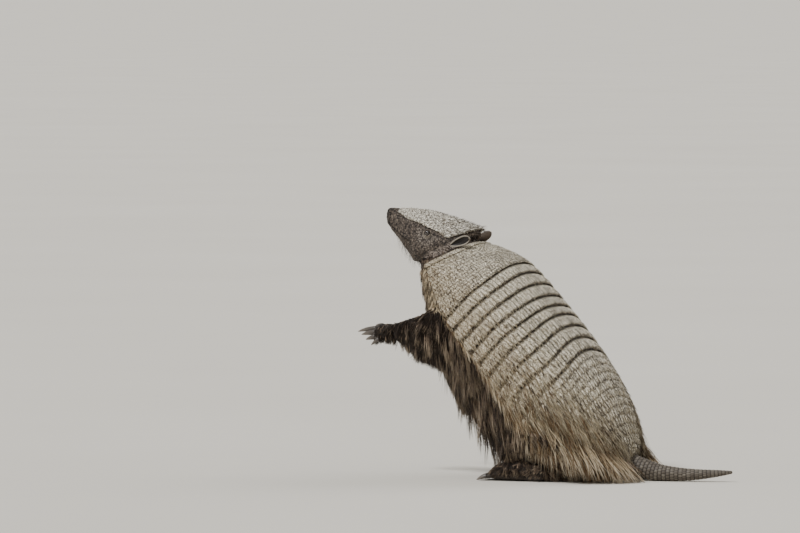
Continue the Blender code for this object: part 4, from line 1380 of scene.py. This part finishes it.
def gatherSurface(meshes, values):  # the triangles of some meshes as one surface, with a value for each point
    points, normals, corners, start = [], [], [], 0
    for mesh in meshes:
        mesh.calc_loop_triangles()
        triangles = np.empty(len(mesh.loop_triangles) * 3, dtype=np.int32)
        mesh.loop_triangles.foreach_get("vertices", triangles)
        points.append(readPoints(mesh))
        normals.append(readNormals(mesh))
        corners.append(triangles.reshape(-1, 3) + start)
        start += len(mesh.vertices)
    points, corners = np.concatenate(points), np.concatenate(corners)
    a, b, c = (points[corners[:, k]] for k in range(3))
    area = np.linalg.norm(np.cross(b - a, c - a), axis=1) / 2
    return {
        "points": points, "normals": np.concatenate(normals), "corners": corners, "area": area,
        "middles": (a + b + c) / 3, "values": values[corners[:, 0]],
    }


def scatterRoots(surface, facts, share):  # random points even by area, times a share for each triangle
    random = np.random.default_rng(facts["seed"])
    odds = surface["area"] * share
    count = facts["count"]
    picked = random.choice(len(odds), size=count, p=odds / odds.sum())
    u, v = random.random(count), random.random(count)
    u, v = np.where(u + v > 1, 1 - u, u), np.where(u + v > 1, 1 - v, v)
    mix = np.stack((1 - u - v, u, v), axis=1)[..., None]
    corners = surface["corners"][picked]
    normals = unit((surface["normals"][corners] * mix).sum(axis=1))
    return (surface["points"][corners] * mix).sum(axis=1), normals


def trunkTurn(points):  # the place along the trunk and the angle round its widest level that points lie at
    place, height, across = trunkPlace(points)
    widest = smoothRows(trunk["sections"], place)[..., 3]
    return place, np.arctan2(across, height - widest)


def unrollTrunk(place, angle):
    return np.stack((angle / (2 * math.pi) + 0.5, (place + 150) / 320), axis=1)


def unrollHead(points):
    at, turn = headPlace(points)
    return np.stack((turn / (2 * math.pi) + 0.5, at / head["length"]), axis=1)


def unrollLimb(path, points):  # share round the limb and share along it, and the way it runs
    rows = [(k, *point, w, h) for k, (point, w, h) in enumerate(path)]
    line = smoothRows(rows, np.linspace(0, len(path) - 1, 80))[..., :3] * mm
    nearest = np.argmin(np.linalg.norm(points[:, None, :] - line[None], axis=2), axis=1)
    ahead = unit(np.gradient(line, axis=0))[nearest]
    side = unit(np.cross(ahead, (0, 0, 1.0)))
    offset = points - line[nearest]
    turn = np.arctan2(np.sum(offset * np.cross(side, ahead), axis=1), np.sum(offset * side, axis=1))
    return np.stack((turn / (2 * math.pi) + 0.5, nearest / 79.0), axis=1), ahead


def trunkLie(place, angle):  # tailward along the trunk's surface
    return unit(trunkPoint(place + 3, angle) - trunkPoint(place - 3, angle))


down = np.array([0.0, 0.0, -1.0])
# Lengths and widths in mm; lift, droop, settle and stray bend a tuft, lock draws perLock tufts together
coat = {
    "belly": {
        "length": 18, "uneven": 0.5, "width": 0.85, "lift": 0.6, "droop": 0.3, "settle": 0.3, "stray": 0.3,
        "perLock": 7, "lock": 0.75, "count": 10500, "dull": 0.2,
    },
    "chest": {
        "length": 10, "uneven": 0.4, "width": 0.8, "lift": 0.4, "droop": 0.25, "settle": 0.4, "stray": 0.3,
        "perLock": 6, "lock": 0.6, "count": 3600, "dull": -0.3,
    },
    "arm": {
        "length": 13, "uneven": 0.5, "width": 0.8, "lift": 0.5, "droop": 0.4, "settle": 0.3, "stray": 0.3,
        "perLock": 6, "lock": 0.6, "count": 10000, "dull": 0.72,
    },
    "leg": {
        "length": 15, "uneven": 0.4, "width": 0.85, "lift": 0.38, "droop": 0.25, "settle": 0.5, "stray": 0.24,
        "perLock": 8, "lock": 0.6, "count": 9000,
    },
    "guard": {
        "length": 26, "uneven": 0.4, "width": 0.8, "lift": 0.38, "droop": 0.6, "settle": 0.1, "stray": 0.3,
        "perLock": 8, "lock": 0.9, "count": 1900, "cut": "long", "dull": 0.25,
    },
    "throat": {
        "length": 7, "uneven": 0.4, "width": 0.7, "lift": 0.35, "droop": 0.15, "settle": 0.6, "stray": 0.25,
        "perLock": 8, "lock": 0.4, "count": 4200,
    },
    "foot": {
        "length": 6.5, "uneven": 0.4, "width": 0.6, "lift": 0.25, "droop": 0.1, "settle": 0.8, "stray": 0.25,
        "perLock": 7, "lock": 0.4, "count": 1500,
    },
    "whisker": {
        "length": 8.5, "uneven": 0.5, "width": 0.26, "lift": 1.0, "droop": 0.15, "settle": 0.2, "stray": 0.4,
        "perLock": 1, "lock": 0.0, "count": 320,
    },
}


def growBodyCoat():
    surface = gatherSurface([skinMesh], skinRegions)
    middles, region = surface["middles"], surface["values"]
    x, _, z = middles.T
    place, angle = trunkTurn(middles)
    beyond = np.abs(angle) - marginAngle(place)
    below = ramp(beyond, 0.0, 0.1)
    pale = np.clip(ramp(-place, 78, 105) + ramp(-place, 30, 75) * ramp(0.4 - beyond, 0, 0.25), 0, 1)
    isPart = {node: region == k for k, node in enumerate(fleshNodes)}

    def grow(name, kind, seed, share, lay, material=darkHair):  # lay gives the roots' lie, bake map and size
        facts = dict(coat[kind], seed=seed)
        roots, normals = scatterRoots(surface, facts, share)
        lie, places, size = lay(roots, normals)
        growTufts(name, roots, normals, lie, facts, places, material, size)

    def onTrunk(tailShare, downShare, frontSize=1.0):
        def lay(roots, normals):
            at, turn = trunkTurn(roots)
            size = frontSize + (1 - frontSize) * ramp(roots[:, 0], -0.150, -0.110)
            return trunkLie(at, turn) * tailShare + down * downShare, unrollTrunk(at, turn), size

        return lay

    def onArm(roots, normals):
        places, ahead = unrollLimb(limbPath(forelegPath, side), roots)
        under = np.clip(-normals[:, 2], 0, 1)
        lie = ahead * 0.55 + down * (0.5 + 0.9 * under)[:, None] + tailward * 0.35
        return lie, places, (0.27 + 0.83 * ramp(roots[:, 0], -0.172, -0.125)) * (0.8 + 0.35 * under)

    def onLeg(roots, normals):
        places = unrollLimb(limbPath(hindlegPath, side), roots)[0]
        return down * 0.9 + tailward * 0.35, places, 0.6 + 0.4 * ramp(roots[:, 2], 0.01, 0.04)

    def onFoot(roots, normals):
        return np.array([-0.8, 0, -0.5]), unrollLimb(limbPath(footPath, side), roots)[0], 1.0

    for side, label in ((1, "left"), (-1, "right")):
        onSide = np.sign(angle) == side
        for end, seed, within in (("front", 31, place <= -15), ("rear", 32, place > -15)):
            share = isPart["trunk"] * below * (1 - 0.85 * pale) * onSide * within
            grow(f"belly_coat_{end}_{label}", "belly", seed + 2 * side, share, onTrunk(0.8, 0.45))
        share = isPart["trunk"] * below * pale * onSide
        grow(f"chest_coat_{label}", "chest", 38 + side, share, onTrunk(0.6, 0.6), goldHair)
        share = isPart[f"foreleg_{label}"] * below * ramp(x, -0.165, -0.158)
        share = share + 0.45 * isPart[f"forepaw_{label}"] * ramp(x, -0.183, -0.168)
        grow(f"arm_coat_{label}", "arm", 45 + side, share, onArm)
        share = isPart[f"hindleg_{label}"] * below * (z > 0.006)
        grow(f"leg_coat_{label}", "leg", 55 + side, share, onLeg)
        share = isPart[f"hindfoot_{label}"] * (z > 0.006) * ramp(x, -0.04, -0.015)
        grow(f"foot_coat_{label}", "foot", 65 + side, share, onFoot)
        share = isPart["trunk"] * below * (1 - pale) * onSide * ramp(place, -90, -40)
        share = share + 2.2 * isPart[f"foreleg_{label}"] * below * ramp(x, -0.160, -0.145)
        grow(f"guard_coat_{label}", "guard", 95 + side, share, onTrunk(0.6, 0.7, 0.7))

    def onThroat(roots, normals):
        return behind * 0.8 + down * 0.4, unrollTrunk(*trunkTurn(roots)), 1.0

    def onChin(roots, normals):
        return behind * 0.5 + down * 0.8, unrollHead(roots), 1.0

    at, turn = headPlace(middles)
    share = isPart["neck"] * (0.08 + ramp(np.abs(turn), math.radians(105), math.radians(135)))
    grow("throat_coat", "throat", 75, share, onThroat)
    share = isPart["head"] * ramp(np.abs(turn), math.radians(95), math.radians(140)) * ramp(at, 6, 22)
    grow("chin_bristles", "whisker", 85, share, onChin)
    print("dark coat grown")


# Hair on the armour: it comes out between the scutes, thin on the back and long on the flank

armourCoat = {  # "size" is the length's factor, and what the flank and the rear add to it
    "pale": {
        "length": 9, "uneven": 0.5, "width": 0.6, "lift": 0.14, "droop": 0.02, "settle": 0.7, "stray": 0.1,
        "perLock": 3, "lock": 0.25, "count": 12500, "seed": 101, "size": (0.7, 0.5, 0.5),
    },
    "gold": {
        "length": 16, "uneven": 0.5, "width": 0.55, "lift": 0.14, "droop": 0.1, "settle": 0.6, "stray": 0.14,
        "perLock": 3, "lock": 0.35, "count": 2600, "seed": 102, "size": (0.6, 0.35, 0.8),
    },
    "dark": {
        "length": 9, "uneven": 0.5, "width": 0.5, "lift": 0.2, "droop": 0.0, "settle": 0.4, "stray": 0.14,
        "perLock": 2, "lock": 0.3, "count": 9500, "seed": 103, "size": (0.6, 0.4, 0.4),
    },
    "head": {
        "length": 5.5, "uneven": 0.6, "width": 0.36, "lift": 0.6, "droop": 0.0, "settle": 0.3, "stray": 0.3,
        "perLock": 1, "lock": 0.0, "count": 1400, "seed": 104,
    },
    "rootDepth": 0.3,  # mm that the hair starts under the scutes
}
bandNames = [f"band_{k}" for k in range(1, len(bandEdges))]
plateNames = ["nape_band", "shoulder_shield", *bandNames, "pelvic_shield"]


def readValues(mesh, name):
    values = np.empty(len(mesh.vertices))
    mesh.attributes[name].data.foreach_get("value", values)
    return values


def growArmourCoat():
    meshes = [bpy.data.objects[name + "_scutes"].data for name in plateNames]
    seams = np.concatenate([readValues(mesh, "seam") * (readValues(mesh, "tuck") < 0.3) for mesh in meshes])
    surface = gatherSurface(meshes, seams)
    place, angle = trunkTurn(surface["middles"])
    toMargin = np.abs(angle) / marginAngle(place)
    atSeam = 0.15 + surface["values"]
    flank, rear = ramp(toMargin, 0.3, 0.95), ramp(place, 20, 130)
    paleShare = 0.06 + 0.12 * ramp(place, -90, -60) + flank * (0.3 + 0.7 * ramp(place, -90, 0)) + 0.3 * rear
    goldShare = ramp(toMargin, 0.55, 0.95) * (0.12 + 0.9 * ramp(place, -60, 90))
    for kind, material, share in (
        ("pale", paleHair, paleShare), ("gold", goldHair, goldShare), ("dark", backHair, 0.6 + 0.4 * rear),
    ):
        facts = armourCoat[kind]
        roots, normals = scatterRoots(surface, facts, atSeam * share)
        at, turn = trunkTurn(roots)
        out = np.abs(turn) / marginAngle(at)
        base, perFlank, perRear = facts["size"]
        size = base + perFlank * ramp(out, 0.3, 0.95) + perRear * ramp(at, 0, 120) * ramp(out, 0.2, 0.8)
        low = (ramp(out, 0.5, 1.0) * ramp(at, 0, 80))[:, None]
        lie = trunkLie(at, turn) * (1 - 0.7 * low) + (tailward * 0.7 + down * 0.35) * low
        roots = roots - normals * armourCoat["rootDepth"] * mm
        growTufts(f"armour_hair_{kind}", roots, normals, lie, facts, unrollTrunk(at, turn), material, size)
    facts = armourCoat["head"]
    mesh = bpy.data.objects["head_scutes"].data
    surface = gatherSurface([mesh], readValues(mesh, "seam"))
    roots, normals = scatterRoots(surface, facts, 0.2 + surface["values"])
    places = unrollHead(roots)
    roots = roots - normals * armourCoat["rootDepth"] * mm
    growTufts("head_bristles", roots, normals, behind, facts, places, backHair)
    print("armour hair grown")


# Fringe: long pale hair from under the armour's lower edge, sweeping back and down over the haunch

fringe = {  # "inset" is how far in mm the hair starts under the armour, and "crowd" draws it to the rear
    "gold": {
        "length": 34, "uneven": 0.6, "width": 0.62, "lift": 0.16, "droop": 0.16, "settle": 0.25,
        "stray": 0.24, "wave": 0.07, "perLock": 3, "lock": 0.5, "count": 1050, "cut": "long", "dull": 0.25,
        "inset": 0.4, "crowd": 0.62, "seed": 134,
    },
    "dark": {
        "length": 22, "uneven": 0.5, "width": 0.9, "lift": 0.1, "droop": 0.2, "settle": 0.3, "stray": 0.18,
        "perLock": 8, "lock": 0.5, "count": 3600, "cut": "long", "dull": 0.7,
        "inset": 2.2, "crowd": 0.8, "seed": 133,
    },
}
fringeRun = (-126, 284)  # where along the trunk it starts, and for how many mm it runs


def growFringe():
    for side, label in ((1, "left"), (-1, "right")):
        for kind, material in (("gold", goldHair), ("dark", darkHair)):
            facts = dict(fringe[kind], seed=fringe[kind]["seed"] + side)
            random = np.random.default_rng(facts["seed"])
            place = fringeRun[0] + fringeRun[1] * random.random(facts["count"]) ** facts["crowd"]
            share = 1.0 - np.abs(random.normal(0, 0.035, len(place))) * ramp(place, -60, 80)
            angle = marginAngle(place) * share * side
            roots = trunkPoint(place, angle, -facts["inset"])
            normals = unit(trunkPoint(place, angle, 3.0) - trunkPoint(place, angle, -3.0))
            ahead = trunkPoint(place + 3, marginAngle(place + 3) * share * side)
            lie = unit(ahead - trunkPoint(place, angle))
            behindHaunch = ramp(place, 10, 70)[:, None]
            lie = lie * (1 - behindHaunch) + tailward * behindHaunch
            lie = lie + down * (0.1 + 0.45 * ramp(place, -20, 70))[:, None]
            size = 0.5 + 0.25 * ramp(place, -110, 20) + 0.38 * ramp(place, 10, 60)
            size = size - 0.25 * ramp(place, 90, 150)
            places = unrollTrunk(place, angle)
            growTufts(f"fringe_{kind}_{label}", roots, normals, lie, facts, places, material, size)
    print("fringe grown")


growBodyCoat()
growArmourCoat()
growFringe()


# Camera, floor and light

studio = {
    "azimuth": 26.0, "distance": 6.4, "height": 0.52, "aim": (0.003, 0.0, 0.14), "metresWide": 0.84,
    "farthest": 1500, "floorRadius": 400,
    "world": ("E8E6E1", 0.5),
    # strength, softness and (tilt, turn) in degrees
    "lamps": {"key": (3.0, 14, (38, -22)), "rim": (0.8, 40, (55, 150))},
}
# the view's size, and where in it the floor under the aim falls
framing = {"width": 800, "height": 533, "originAt": (551, 477)}


def setCamera():
    turn = math.radians(studio["azimuth"])
    lens = bpy.data.cameras.new("camera")
    camera = bpy.data.objects.new("camera", lens)
    bpy.context.scene.collection.objects.link(camera)
    aim = Vector(studio["aim"])
    x, y = aim.x + math.sin(turn) * studio["distance"], aim.y - math.cos(turn) * studio["distance"]
    camera.location = (x, y, studio["height"])
    toAim = aim - camera.location
    camera.rotation_euler = toAim.to_track_quat("-Z", "Y").to_euler()
    lens.sensor_fit = "HORIZONTAL"
    lens.sensor_width = 36.0
    lens.lens = lens.sensor_width * toAim.length / studio["metresWide"]
    foot = camera.rotation_euler.to_matrix().inverted() @ (Vector((aim.x, aim.y, 0)) - camera.location)
    wide, high = framing["width"], framing["height"]
    perMetre = wide * lens.lens / lens.sensor_width / -foot.z
    lens.shift_x = (wide / 2 + foot.x * perMetre - framing["originAt"][0]) / wide
    lens.shift_y = -(high / 2 - foot.y * perMetre - framing["originAt"][1]) / wide
    lens.clip_end = studio["farthest"]
    bpy.context.scene.camera = camera


def makeFloorPaint():
    # Matt pale paint, with the faintest clouding so that it doesn't look like paper
    material, tree, shader = newMaterial("mattFloorPaint", 0.95, 0.1)
    place = addNode(tree, "ShaderNodeTexCoord").outputs["Object"]
    cloud = addNode(tree, "ShaderNodeTexNoise", {"Vector": place, "Scale": 1.5, "Detail": 3.0})
    tone = addNode(tree, "ShaderNodeMix", {0: cloud, 6: "D9D4CA", 7: "E2DED5"}, data_type="RGBA")
    setInputs(tree, shader, {"Base Color": tone})
    return material


def setStage():
    meshMaker = bmesh.new()
    bmesh.ops.create_circle(meshMaker, cap_ends=True, segments=96, radius=studio["floorRadius"])
    mesh = bpy.data.meshes.new("floor")
    meshMaker.to_mesh(mesh)
    meshMaker.free()
    floor = bpy.data.objects.new("floor", mesh)
    bpy.context.scene.collection.objects.link(floor)
    mesh.materials.append(makeFloorPaint())
    world = bpy.data.worlds.new("paleStudio")
    world.use_nodes = True
    colour, strength = studio["world"]
    setInputs(world.node_tree, world.node_tree.nodes["Background"], {"Color": colour, "Strength": strength})
    bpy.context.scene.world = world
    for name, (strength, softness, (tilt, turn)) in studio["lamps"].items():
        light = bpy.data.lights.new(name, "SUN")
        light.energy = strength
        light.angle = math.radians(softness)
        lamp = bpy.data.objects.new(name, light)
        lamp.rotation_euler = (math.radians(tilt), 0, math.radians(turn))
        bpy.context.scene.collection.objects.link(lamp)


setCamera()
setStage()
print("stage set")
